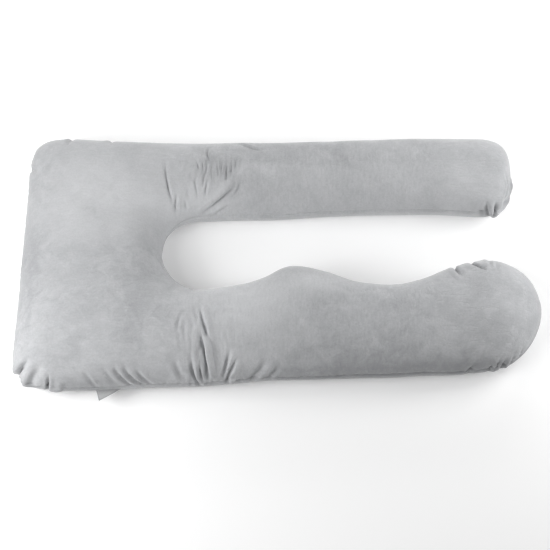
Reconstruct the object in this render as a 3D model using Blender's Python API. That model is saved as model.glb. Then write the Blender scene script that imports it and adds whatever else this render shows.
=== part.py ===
"""U-shaped body pillow in plush, lying flat, with the care label sewn into its near seam.

The cover is two plush panels joined by one seam, which runs all the way round at a little under
half height. Stuffed, it is one closed form: a wide head, a straight far arm and a waved near arm.
The form is swept through sections that run from the seam on the inner side of the U to the seam
on its outer side, starting at the far arm's tip and ending at the near arm's.

Metres, +Z up. +X runs from the head along the arms, +Y from the waved arm to the straight one.
The origin is on the surface that the pillow lies on, under the middle of its bounding box.
"""

import math
from typing import NamedTuple

import bmesh
import bpy
import numpy as np

# The stuffed form
SEAM_HEIGHT = 0.074        # the seam between the two panels, above the surface it lies on
SECTION_FULLNESS = 2.3     # 2 is an ellipse, more is a flatter crown with rounder flanks
UNDER_DROP = 0.093         # how deep the under panel would hang if nothing pressed it flat
PRESSED_ROLL = 0.014       # how softly the underside rolls on to the surface

# The mesh
TOP_STEPS = 20             # faces across the upper panel
UNDER_STEPS = 10           # faces across the under panel, half as many, so that tips close
TIP_STEPS = 7              # sections in each arm's tip
PATH_STEPS = 48            # places along a fold that are measured from

# How every fold is shaped, in half widths from its bottom and in shares of its length
FOLD_REACH = 2.2           # beyond this the cloth lies as before
ROLL_AT = 1.15             # where the cloth beside it stands highest
FADE_SHARE = 0.9           # the part of its length over which it fades
FADE_POWER = 0.7           # less keeps its depth for longer
SHORTEST_FADE = 0.05

# The label, a cut of woven tape that hangs from the seam by one slanting edge
LABEL_ROOT_LEFT = (-0.463, -0.3648, 0.0610)
LABEL_ROOT_RIGHT = (-0.397, -0.3599, 0.0610)
LABEL_CORNER = (-0.457, -0.3930, 0.0520)
LABEL_THICKNESS = 0.0010
LABEL_SAG = 0.0020
LABEL_ROWS = 5
LABEL_COLUMNS = 6
LABEL_CORNER_WIDTH = 0.0015


class Section(NamedTuple):
    """A section of the pillow from seam to seam, with the number of faces to the next one."""

    name: str
    inner_x: float
    inner_y: float
    outer_x: float
    outer_y: float
    crown: float
    steps: int


SECTIONS = (
    Section("far arm, end", 0.530, 0.160, 0.530, 0.382, 0.154, 5),
    Section("far arm, outer", 0.431, 0.167, 0.431, 0.382, 0.158, 4),
    Section("far arm, outer middle", 0.331, 0.167, 0.331, 0.379, 0.158, 4),
    Section("far arm, middle", 0.221, 0.165, 0.221, 0.376, 0.158, 4),
    Section("far arm, inner middle", 0.111, 0.160, 0.111, 0.370, 0.158, 5),
    Section("far arm, inner", 0.006, 0.151, 0.006, 0.368, 0.160, 8),
    Section("far arm, neck", -0.099, 0.149, -0.099, 0.366, 0.163, 12),
    Section("far arm, root", -0.209, 0.145, -0.212, 0.363, 0.168, 6),
    Section("far shoulder", -0.241, 0.138, -0.350, 0.363, 0.175, 5),
    Section("head, far side", -0.266, 0.123, -0.480, 0.368, 0.180, 5),
    Section("far corner, start", -0.285, 0.102, -0.600, 0.374, 0.182, 3),
    Section("far corner", -0.297, 0.084, -0.656, 0.352, 0.184, 3),
    Section("far corner, end", -0.304, 0.064, -0.671, 0.289, 0.186, 4),
    Section("head, upper", -0.308, 0.040, -0.673, 0.160, 0.188, 5),
    Section("head, middle", -0.308, 0.018, -0.677, 0.010, 0.190, 5),
    Section("head, lower", -0.303, -0.005, -0.679, -0.140, 0.190, 4),
    Section("near corner, start", -0.293, -0.026, -0.682, -0.292, 0.190, 4),
    Section("near corner", -0.280, -0.047, -0.665, -0.344, 0.188, 5),
    Section("near corner, end", -0.263, -0.065, -0.600, -0.364, 0.187, 6),
    Section("head, near side", -0.245, -0.079, -0.470, -0.367, 0.186, 7),
    Section("near shoulder", -0.225, -0.089, -0.340, -0.358, 0.184, 10),
    Section("near arm, root", -0.204, -0.095, -0.210, -0.354, 0.182, 13),
    Section("near arm, neck", -0.099, -0.077, -0.099, -0.344, 0.180, 6),
    Section("first wave, rise", -0.039, -0.057, -0.039, -0.338, 0.184, 4),
    Section("first wave, top", 0.031, -0.0215, 0.031, -0.337, 0.188, 4),
    Section("first wave, fall", 0.121, -0.037, 0.121, -0.334, 0.184, 4),
    Section("waist, start", 0.201, -0.067, 0.201, -0.330, 0.176, 4),
    Section("waist", 0.291, -0.076, 0.291, -0.328, 0.172, 4),
    Section("waist, end", 0.371, -0.060, 0.371, -0.323, 0.174, 4),
    Section("bulb, rise", 0.451, -0.025, 0.451, -0.322, 0.180, 4),
    Section("bulb", 0.536, -0.001, 0.536, -0.313, 0.182, 1),
)


class Tip(NamedTuple):
    """The rounded end of an arm, beyond its last section."""

    reach: float         # from the last section to the end of the seam
    draw_in: float       # where the outline starts to narrow, as a share of the reach
    squareness: float    # 2 is an ellipse, more is a squarer end
    drift: float         # how far the middle of the seam's end lies in +Y of the section's
    end_share: float     # width of the last line across, as a share of the section's
    bluntness: float     # 1 is an elliptic end seen from the side, more is blunter


FAR_TIP = Tip(reach=0.097, draw_in=0.00, squareness=3.4, drift=-0.004, end_share=0.50, bluntness=1.7)
NEAR_TIP = Tip(reach=0.149, draw_in=0.00, squareness=1.90, drift=0.020, end_share=0.45, bluntness=1.3)


class Fold(NamedTuple):
    """A fold or gather of the cover, along a curve through three places on the unfolded form."""

    name: str
    start: tuple
    middle: tuple
    end: tuple
    half_width: float
    depth: float
    deepest: float       # where along the curve it is deepest, from 0 at the start to 1 at the end
    roll: float          # cloth standing up beside it, as a share of the depth: + left, - right


FOLDS = (
    Fold("near root, upper", (-0.203, -0.172, 0.177), (-0.192, -0.215, 0.181), (-0.181, -0.262, 0.177),
         0.013, 0.008, 0.65, 0.2),
    Fold("near root, main", (-0.200, -0.256, 0.178), (-0.182, -0.308, 0.158), (-0.182, -0.350, 0.096),
         0.013, 0.016, 0.5, 0.5),
    Fold("near root, by seam", (-0.221, -0.328, 0.142), (-0.212, -0.348, 0.112), (-0.196, -0.348, 0.045),
         0.012, 0.013, 0.55, 0.4),
    Fold("near root, left line", (-0.227, -0.262, 0.178), (-0.220, -0.302, 0.164), (-0.222, -0.326, 0.148),
         0.015, 0.005, 0.5, 0.3),
    Fold("near neck, hollow", (-0.151, -0.221, 0.181), (-0.156, -0.286, 0.168), (-0.156, -0.336, 0.125),
         0.022, 0.008, 0.6, 0.0),
    Fold("near neck, gather", (-0.122, -0.300, 0.156), (-0.131, -0.332, 0.126), (-0.142, -0.348, 0.082),
         0.012, 0.012, 0.5, 0.5),
    Fold("head edge, gather", (-0.407, -0.350, 0.124), (-0.384, -0.358, 0.100), (-0.350, -0.359, 0.078),
         0.014, 0.009, 0.6, 0.3),
    Fold("near corner, pucker", (-0.618, -0.306, 0.152), (-0.643, -0.330, 0.124), (-0.664, -0.335, 0.070),
         0.018, 0.022, 0.62, 0.12),
    Fold("near corner, gather", (-0.579, -0.342, 0.134), (-0.590, -0.362, 0.095), (-0.598, -0.360, 0.040),
         0.014, 0.013, 0.6, 0.12),
    Fold("bulb, far pucker", (0.554, -0.096, 0.175), (0.522, -0.062, 0.159), (0.501, -0.014, 0.090),
         0.015, 0.018, 0.64, 0.05),
    Fold("bulb, far gather", (0.493, -0.107, 0.175), (0.473, -0.072, 0.158), (0.461, -0.026, 0.080),
         0.014, 0.016, 0.6, 0.05),
    Fold("bulb, near hollow", (0.511, -0.294, 0.130), (0.498, -0.314, 0.090), (0.492, -0.306, 0.040),
         0.018, 0.010, 0.6, 0.2),
    Fold("far root, long fold", (-0.303, 0.250, 0.174), (-0.300, 0.180, 0.164), (-0.281, 0.128, 0.120),
         0.013, 0.007, 0.6, 0.4),
    Fold("far root, crooked fold", (-0.192, 0.290, 0.160), (-0.184, 0.225, 0.165), (-0.202, 0.166, 0.134),
         0.014, 0.006, 0.6, 0.3),
    Fold("far neck, diagonal", (-0.106, 0.184, 0.143), (-0.150, 0.154, 0.110), (-0.206, 0.144, 0.070),
         0.013, 0.009, 0.5, 0.4),
    Fold("far neck, far edge", (-0.110, 0.318, 0.152), (-0.084, 0.316, 0.152), (-0.054, 0.308, 0.153),
         0.013, 0.005, 0.4, 0.0),
    Fold("head, notch", (-0.634, 0.240, 0.146), (-0.660, 0.270, 0.118), (-0.672, 0.288, 0.070),
         0.014, 0.009, 0.6, 0.15),
    Fold("far tip, gather", (0.564, 0.186, 0.124), (0.563, 0.165, 0.080), (0.566, 0.172, 0.036),
         0.014, 0.010, 0.55, 0.4),
)


def smooth(values, at):
    """Catmull-Rom value through a row of values, at a fractional index."""
    last = len(values) - 1
    i = min(int(at), last - 1)
    t = at - i
    a, b, c, d = (values[max(0, min(last, i + k))] for k in (-1, 0, 1, 2))
    return b + 0.5 * t * (c - a + t * (2 * a - 5 * b + 4 * c - d + t * (3 * (b - c) + d - a)))


def superellipse(share, power):
    """Height of a unit superellipse at a share of its half width."""
    return (1 - min(1.0, abs(share)) ** power) ** (1 / power)


def pressed(height):
    """A height with the surface underneath taken into account: flat on it, with a soft roll."""
    if height >= PRESSED_ROLL:
        return height
    return max(0.0, height + PRESSED_ROLL) ** 2 / (4 * PRESSED_ROLL)


def section_points(steps, inner, outer, crown, upper, rise=1.0, bow=None):
    """Points across one panel from the inner seam to the outer one.

    rise flattens the section towards the seam, and bow moves a point along the arm.
    """
    middle, half = (inner + outer) / 2, (outer - inner) / 2
    points = []
    for k in range(steps + 1):
        across = -math.cos(math.pi * k / steps)
        x, y = middle + half * across
        lift = rise * math.sqrt(1 - min(1.0, abs(across)) ** SECTION_FULLNESS)
        if upper:
            z = SEAM_HEIGHT + (crown - SEAM_HEIGHT) * lift
        else:
            z = pressed(SEAM_HEIGHT - UNDER_DROP * lift)
        points.append((x + (bow(across) if bow else 0.0), y, z))
    return points


def tip_sections(tip, inner, outer, crown):
    """Sections from an arm's last one out to its seam, where the two panels meet."""
    middle, half = (inner + outer) / 2, (outer - inner) / 2
    spare = 1 - tip.draw_in
    end = tip.draw_in + spare * superellipse(tip.end_share, tip.squareness)
    found = []
    for k in range(1, TIP_STEPS + 1):
        turn = math.pi / 2 * k / TIP_STEPS
        along = end * math.sin(turn)
        width = half * superellipse(max(0.0, along - tip.draw_in) / spare, tip.squareness)
        centre = middle + np.array((tip.reach * along, tip.drift * along ** 2))

        def bow(across, share=(k / TIP_STEPS) ** 3):
            seam = tip.draw_in + spare * superellipse(tip.end_share * across, tip.squareness)
            return share * tip.reach * (seam - end)

        rise = math.cos(turn) ** (1 / tip.bluntness) if k < TIP_STEPS else 0.0
        found.append((centre - width, centre + width, crown, rise, bow))
    return found


def pillow_sections():
    """Every section from the far arm's tip to the near arm's: inner, outer, crown, rise, bow."""
    inner = np.array([(s.inner_x, s.inner_y) for s in SECTIONS])
    outer = np.array([(s.outer_x, s.outer_y) for s in SECTIONS])
    crown = np.array([s.crown for s in SECTIONS])
    body = []
    for i, section in enumerate(SECTIONS[:-1]):
        for k in range(section.steps):
            at = i + k / section.steps
            body.append((smooth(inner, at), smooth(outer, at), smooth(crown, at), 1.0, None))
    body.append((inner[-1], outer[-1], crown[-1], 1.0, None))
    far = tip_sections(FAR_TIP, inner[0], outer[0], crown[0])
    near = tip_sections(NEAR_TIP, inner[-1], outer[-1], crown[-1])
    return far[::-1] + body + near


def close_tip(mesh, ring, line):
    """Joins the last ring to the line where the panels meet, with one under face for two edges."""
    for k in range(TOP_STEPS):
        mesh.faces.new((ring[0][k], ring[0][k + 1], line[k + 1], line[k]))
    for k in range(UNDER_STEPS):
        j = k * TOP_STEPS // UNDER_STEPS
        mesh.faces.new((ring[1][k + 1], ring[1][k], line[j], line[j + 1], line[j + 2]))


def fold_path(fold):
    """Places along a fold, on a parabola through its three points."""
    start, middle, end = (np.array(p) for p in (fold.start, fold.middle, fold.end))
    t = np.linspace(0.0, 1.0, PATH_STEPS + 1)[:, None]
    return start + t * (4 * middle - 3 * start - end) + t ** 2 * (2 * start + 2 * end - 4 * middle)


def bump(distance):
    """A soft round hump, 1 at no distance and 0 from a distance of 1."""
    return max(0.0, 1 - distance ** 2) ** 2


def fold_height(fold, path, point, normal):
    """How far a fold lifts a point of the unfolded form along its normal."""
    away = point - path
    nearest = int(np.argmin(np.einsum("ij,ij->i", away, away)))
    distance = np.linalg.norm(away[nearest]) / fold.half_width
    if distance > FOLD_REACH:
        return 0.0
    along = nearest / PATH_STEPS
    tangent = path[min(nearest + 1, PATH_STEPS)] - path[max(nearest - 1, 0)]
    left = float(np.dot(np.cross(normal, tangent), away[nearest])) * fold.roll > 0
    reach = fold.deepest if along < fold.deepest else 1 - fold.deepest
    strength = bump(FADE_SHARE * (along - fold.deepest) / max(reach, SHORTEST_FADE)) ** FADE_POWER
    roll = abs(fold.roll) * bump(distance - ROLL_AT) if left else 0.0
    return fold.depth * strength * (roll - bump(distance))


def crease(mesh):
    """Presses the folds into the stuffed form, which stays on the surface beneath it."""
    mesh.normal_update()
    paths = [fold_path(fold) for fold in FOLDS]
    moves = []
    for vertex in mesh.verts:
        point, normal = np.array(vertex.co), np.array(vertex.normal)
        moves.append(sum(fold_height(f, path, point, normal) for f, path in zip(FOLDS, paths)))
    for vertex, move in zip(mesh.verts, moves):
        vertex.co = vertex.co + vertex.normal * move
        vertex.co.z = max(0.0, vertex.co.z)


def pillow_mesh():
    """The stuffed pillow, with its folds."""
    mesh = bmesh.new()
    rows = []
    for inner, outer, crown, rise, bow in pillow_sections():
        upper = section_points(TOP_STEPS, inner, outer, crown, True, rise, bow)
        top = [mesh.verts.new(point) for point in upper]
        if rise == 0.0:
            rows.append((top, None))
            continue
        lower = section_points(UNDER_STEPS, inner, outer, crown, False, rise, bow)[1:-1]
        under = [top[0]] + [mesh.verts.new(point) for point in lower] + [top[-1]]
        rows.append((top, under))
    for first, second in zip(rows[1:-2], rows[2:-1]):
        for a, b in zip(first, second):
            for k in range(len(a) - 1):
                mesh.faces.new((a[k], a[k + 1], b[k + 1], b[k]))
    close_tip(mesh, rows[1], rows[0][0])
    close_tip(mesh, rows[-2], rows[-1][0])
    bmesh.ops.recalc_face_normals(mesh, faces=mesh.faces[:])
    crease(mesh)
    return mesh


def plush(name, colour, roughness):
    """A plain Principled material."""
    material = bpy.data.materials.new(name)
    material.use_nodes = True
    shader = material.node_tree.nodes["Principled BSDF"]
    shader.inputs["Base Color"].default_value = (*colour, 1.0)
    shader.inputs["Roughness"].default_value = roughness
    shader.inputs["Metallic"].default_value = 0.0
    return material


def add_object(name, mesh, material):
    """Links a bmesh to the scene as a named object."""
    data = bpy.data.meshes.new(name)
    mesh.to_mesh(data)
    mesh.free()
    data.shade_smooth()
    data.materials.append(material)
    made = bpy.data.objects.new(name, data)
    bpy.context.scene.collection.objects.link(made)
    return made


def label_mesh():
    """The label's middle sheet, from its slanting sewn edge down to its free corner."""
    left, right, corner = (np.array(p) for p in (LABEL_ROOT_LEFT, LABEL_ROOT_RIGHT, LABEL_CORNER))
    side = (right - left) / np.linalg.norm(right - left) * LABEL_CORNER_WIDTH
    mesh = bmesh.new()
    rows = []
    for i in range(LABEL_ROWS + 1):
        t = i / LABEL_ROWS
        start, end = left + (corner - left) * t, right + (corner + side - right) * t
        sag = np.array((0.0, 0.0, -LABEL_SAG * math.sin(math.pi * t)))
        row = [start + (end - start) * j / LABEL_COLUMNS + sag for j in range(LABEL_COLUMNS + 1)]
        rows.append([mesh.verts.new(point) for point in row])
    for a, b in zip(rows, rows[1:]):
        for j in range(LABEL_COLUMNS):
            mesh.faces.new((a[j], b[j], b[j + 1], a[j + 1]))
    bmesh.ops.recalc_face_normals(mesh, faces=mesh.faces[:])
    return mesh


def main():
    """Builds the pillow and its label."""
    for old in list(bpy.data.objects):
        bpy.data.objects.remove(old)
    add_object("pillow", pillow_mesh(), plush("grey plush", (0.46, 0.47, 0.49), 0.9))
    label = add_object("label", label_mesh(), plush("grey tape", (0.42, 0.42, 0.43), 0.8))
    thicken = label.modifiers.new("tape thickness", "SOLIDIFY")
    thicken.thickness = LABEL_THICKNESS
    thicken.offset = 0.0


main()
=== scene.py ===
"""The looks of a U-shaped body pillow in grey velvet plush, lying flat.

The cover is two plush panels joined by one seam. It is stuffed full: a wide head, a straight far
arm and a waved near arm. The form is swept through sections from the far arm's tip, round the head,
to the near arm's tip. Its folds and gathers are pressed into it afterwards, each along its path.

Metres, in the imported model's frame: +X runs from the head along the arms, +Y from the waved arm to
the straight one, +Z up, and the origin is on the surface that the pillow lies on.
"""

import logging
import math
from collections.abc import Sequence
from dataclasses import dataclass, field
from enum import Enum
from typing import ClassVar

import bpy
import numpy as np
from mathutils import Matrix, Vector
from mathutils.bvhtree import BVHTree
from mathutils.kdtree import KDTree


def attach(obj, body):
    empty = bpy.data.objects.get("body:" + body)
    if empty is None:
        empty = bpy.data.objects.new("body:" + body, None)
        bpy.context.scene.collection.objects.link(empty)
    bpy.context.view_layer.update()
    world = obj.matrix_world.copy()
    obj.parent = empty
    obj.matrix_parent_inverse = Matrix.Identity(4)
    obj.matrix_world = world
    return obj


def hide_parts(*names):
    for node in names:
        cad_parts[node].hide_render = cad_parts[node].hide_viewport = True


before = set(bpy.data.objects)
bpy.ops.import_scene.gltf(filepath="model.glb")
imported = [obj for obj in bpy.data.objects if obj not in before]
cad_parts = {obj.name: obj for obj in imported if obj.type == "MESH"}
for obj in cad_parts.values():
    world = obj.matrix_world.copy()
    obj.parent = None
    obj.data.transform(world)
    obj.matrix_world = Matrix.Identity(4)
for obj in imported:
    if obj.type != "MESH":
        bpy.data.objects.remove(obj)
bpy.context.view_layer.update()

LOG = logging.getLogger("body_pillow")

# The shortest length that is divided by.
TINY = 1e-12

Point = tuple[float, float, float]
Plan = tuple[float, float]
Span = tuple[float, float]
Colour = tuple[float, float, float]


# ------------------------------------------------------------------------------ small maths


def smooth_value(values: np.ndarray, at: float) -> np.ndarray:
    """Reads a row of values between its entries, on a Catmull-Rom curve.

    Args:
        values: One row of numbers or points for each place.
        at: The place, counted in entries from 0.

    Returns:
        The value there.
    """
    last = len(values) - 1
    i = min(int(at), last - 1)
    t = at - i
    a, b, c, d = (values[max(0, min(last, i + k))] for k in (-1, 0, 1, 2))
    return b + 0.5 * t * (c - a + t * (2 * a - 5 * b + 4 * c - d + t * (3 * (b - c) + d - a)))


def superellipse(share: np.ndarray | float, power: float) -> np.ndarray | float:
    """Height of a unit superellipse at a share of its half width."""
    return (1.0 - np.minimum(1.0, np.abs(share)) ** power) ** (1.0 / power)


def hump(distance: np.ndarray | float) -> np.ndarray | float:
    """A soft round hump: 1 at no distance, 0 from a distance of 1."""
    return np.maximum(0.0, 1.0 - np.square(distance)) ** 2


def unit(vectors: np.ndarray) -> np.ndarray:
    """Vectors scaled to a length of 1."""
    return vectors / np.maximum(np.linalg.norm(vectors, axis=-1, keepdims=True), TINY)


def lengths_along(points: np.ndarray) -> np.ndarray:
    """The length run from the first of some points to each of them."""
    return np.concatenate(([0.0], np.cumsum(np.linalg.norm(np.diff(points, axis=0), axis=1))))


@dataclass(frozen=True)
class Unevenness:
    """Soft lumps over a surface, as a sum of waves in all directions.

    Attributes:
        wavelength: The size of the lumps, in metres.
        height: How far the surface rises and falls, in metres.
        seed: Which of the patterns it is.
        waves: How many waves are added up.
        LENGTHS: Shortest and longest of the waves, as shares of the wavelength.
    """

    wavelength: float
    height: float
    seed: int
    waves: int = 24

    LENGTHS: ClassVar[Span] = (0.7, 1.6)

    def at(self, points: np.ndarray) -> np.ndarray:
        """Heights at some points.

        Args:
            points: An array of points, one a row.

        Returns:
            One height for each point.
        """
        dice = np.random.default_rng(self.seed)
        ways = unit(dice.normal(size=(self.waves, 3)))
        lengths = self.wavelength * dice.uniform(*self.LENGTHS, self.waves)
        phases = dice.uniform(0.0, 2 * math.pi, self.waves)
        angles = 2 * math.pi * points @ (ways / lengths[:, None]).T + phases
        return self.height * np.sin(angles).sum(axis=1) * math.sqrt(2.0 / self.waves)


# ------------------------------------------------------------------------------ the stuffed form


@dataclass(frozen=True)
class Section:
    """The pillow from seam to seam at one place.

    Attributes:
        name: Where it is.
        inner: The seam on the inner side of the U, in plan.
        outer: The seam on its outer side, in plan.
        crown: Height of the crown above the surface.
        rows: Rows of the mesh to the next section, before they are made finer.
    """

    name: str
    inner: Plan
    outer: Plan
    crown: float
    rows: int


SECTIONS = (
    Section("far arm, end", (0.530, 0.160), (0.530, 0.382), 0.154, 4),
    Section("far arm, outer", (0.431, 0.167), (0.431, 0.382), 0.158, 4),
    Section("far arm, outer middle", (0.331, 0.167), (0.331, 0.379), 0.158, 4),
    Section("far arm, middle", (0.221, 0.165), (0.221, 0.376), 0.158, 4),
    Section("far arm, inner middle", (0.111, 0.160), (0.111, 0.370), 0.158, 4),
    Section("far arm, inner", (0.006, 0.151), (0.006, 0.368), 0.160, 5),
    Section("far arm, neck", (-0.099, 0.149), (-0.099, 0.366), 0.163, 9),
    Section("far arm, root", (-0.209, 0.145), (-0.212, 0.363), 0.168, 6),
    Section("far shoulder", (-0.241, 0.138), (-0.350, 0.363), 0.175, 5),
    Section("head, far side", (-0.266, 0.123), (-0.480, 0.368), 0.180, 5),
    Section("far corner, start", (-0.285, 0.102), (-0.600, 0.374), 0.182, 4),
    Section("far corner", (-0.297, 0.084), (-0.656, 0.352), 0.184, 4),
    Section("far corner, end", (-0.304, 0.064), (-0.671, 0.289), 0.186, 5),
    Section("head, upper", (-0.308, 0.040), (-0.673, 0.160), 0.188, 5),
    Section("head, middle", (-0.308, 0.018), (-0.677, 0.010), 0.190, 5),
    Section("head, lower", (-0.303, -0.005), (-0.679, -0.140), 0.190, 5),
    Section("near corner, start", (-0.293, -0.026), (-0.682, -0.292), 0.190, 5),
    Section("near corner", (-0.280, -0.047), (-0.665, -0.344), 0.188, 6),
    Section("near corner, end", (-0.263, -0.065), (-0.600, -0.364), 0.187, 8),
    Section("head, near side", (-0.245, -0.079), (-0.470, -0.367), 0.186, 8),
    Section("near shoulder", (-0.225, -0.089), (-0.340, -0.358), 0.184, 9),
    Section("near arm, root", (-0.204, -0.095), (-0.210, -0.354), 0.182, 12),
    Section("near arm, neck", (-0.099, -0.077), (-0.099, -0.344), 0.180, 5),
    Section("first wave, rise", (-0.039, -0.057), (-0.039, -0.338), 0.184, 4),
    Section("first wave, top", (0.031, -0.0215), (0.031, -0.337), 0.188, 4),
    Section("first wave, fall", (0.121, -0.037), (0.121, -0.334), 0.184, 4),
    Section("waist, start", (0.201, -0.067), (0.201, -0.330), 0.176, 4),
    Section("waist", (0.291, -0.076), (0.291, -0.328), 0.172, 4),
    Section("waist, end", (0.371, -0.060), (0.371, -0.323), 0.174, 4),
    Section("bulb, rise", (0.451, -0.025), (0.451, -0.322), 0.180, 6),
    Section("bulb", (0.536, -0.001), (0.536, -0.313), 0.182, 1),
)


@dataclass(frozen=True)
class Tip:
    """The rounded end of an arm, beyond its last section.

    Attributes:
        reach: From the last section to the end of the seam.
        squareness: 2 is an ellipse, more is a squarer end.
        drift: How far the middle of the seam's end lies in +Y of the section's.
        end_share: Width of the last line across, as a share of the section's.
        bluntness: 0 is a pointed end seen from the side, 1 an elliptic one, more is blunter.
        rows: Rows of the mesh, before they are made finer.
    """

    reach: float
    squareness: float
    drift: float
    end_share: float
    bluntness: float
    rows: int = 9


@dataclass(frozen=True)
class Row:
    """One row of the swept mesh, from the inner seam to the outer one.

    Attributes:
        inner: Its end on the inner seam, in plan.
        outer: Its end on the outer seam, in plan.
        crown: Height of the crown above the surface, were the row not in a tip.
        rise: Share of the panels' height that is left in it: 1 along the arms, 0 at a tip's end.
        bow_tip: The tip whose outline the row bends towards, if it is in one.
        bow_share: How far it bends towards that outline.
        bow_end: Where the ends of the tip's last line are, as a share of the tip's reach.
    """

    inner: np.ndarray
    outer: np.ndarray
    crown: float
    rise: float = 1.0
    bow_tip: Tip | None = None
    bow_share: float = 0.0
    bow_end: float = 0.0

    def bow(self, across: np.ndarray) -> np.ndarray:
        """How far points of the row lie along the arm from its straight line.

        Args:
            across: Their places, from -1 at the inner seam to 1 at the outer one.

        Returns:
            One distance for each point.
        """
        if self.bow_tip is None:
            return np.zeros_like(across)
        tip = self.bow_tip
        seam = superellipse(tip.end_share * across, tip.squareness)
        return self.bow_share * tip.reach * (seam - self.bow_end)


@dataclass
class PillowMesh:
    """A closed mesh of the pillow, and the places on it that its makers would know.

    Attributes:
        points: The vertices.
        faces: Faces as lists of vertices, counter-clockwise from outside.
        upper: Vertex numbers of the upper panel, row by row from the far tip to the near one.
        under: Vertex numbers of the under panel, likewise without the two tips' last lines.
        section_rows: The row of each named section.
    """

    points: np.ndarray
    faces: list[tuple[int, ...]]
    upper: np.ndarray
    under: np.ndarray
    section_rows: dict[str, int]

    def triangles(self) -> np.ndarray:
        """The faces, fanned into triangles."""
        fans = [(f[0], f[i], f[i + 1]) for f in self.faces for i in range(1, len(f) - 1)]
        return np.array(fans)

    def normals(self) -> np.ndarray:
        """Outward directions of the vertices, where large faces count for more.

        Returns:
            One vector of length 1 for each vertex.
        """
        corners = self.triangles()
        a, b, c = (self.points[corners[:, i]] for i in range(3))
        across = np.cross(b - a, c - a)
        total = np.zeros_like(self.points)
        for i in range(3):
            np.add.at(total, corners[:, i], across)
        return unit(total)

    def seam(self) -> np.ndarray:
        """Vertex numbers all round the seam: far tip, outer side, near tip, inner side."""
        upper = self.upper
        return np.concatenate(
            (upper[0, :-1], upper[:-1, -1], upper[-1, :0:-1], upper[:0:-1, 0])
        )


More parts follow.
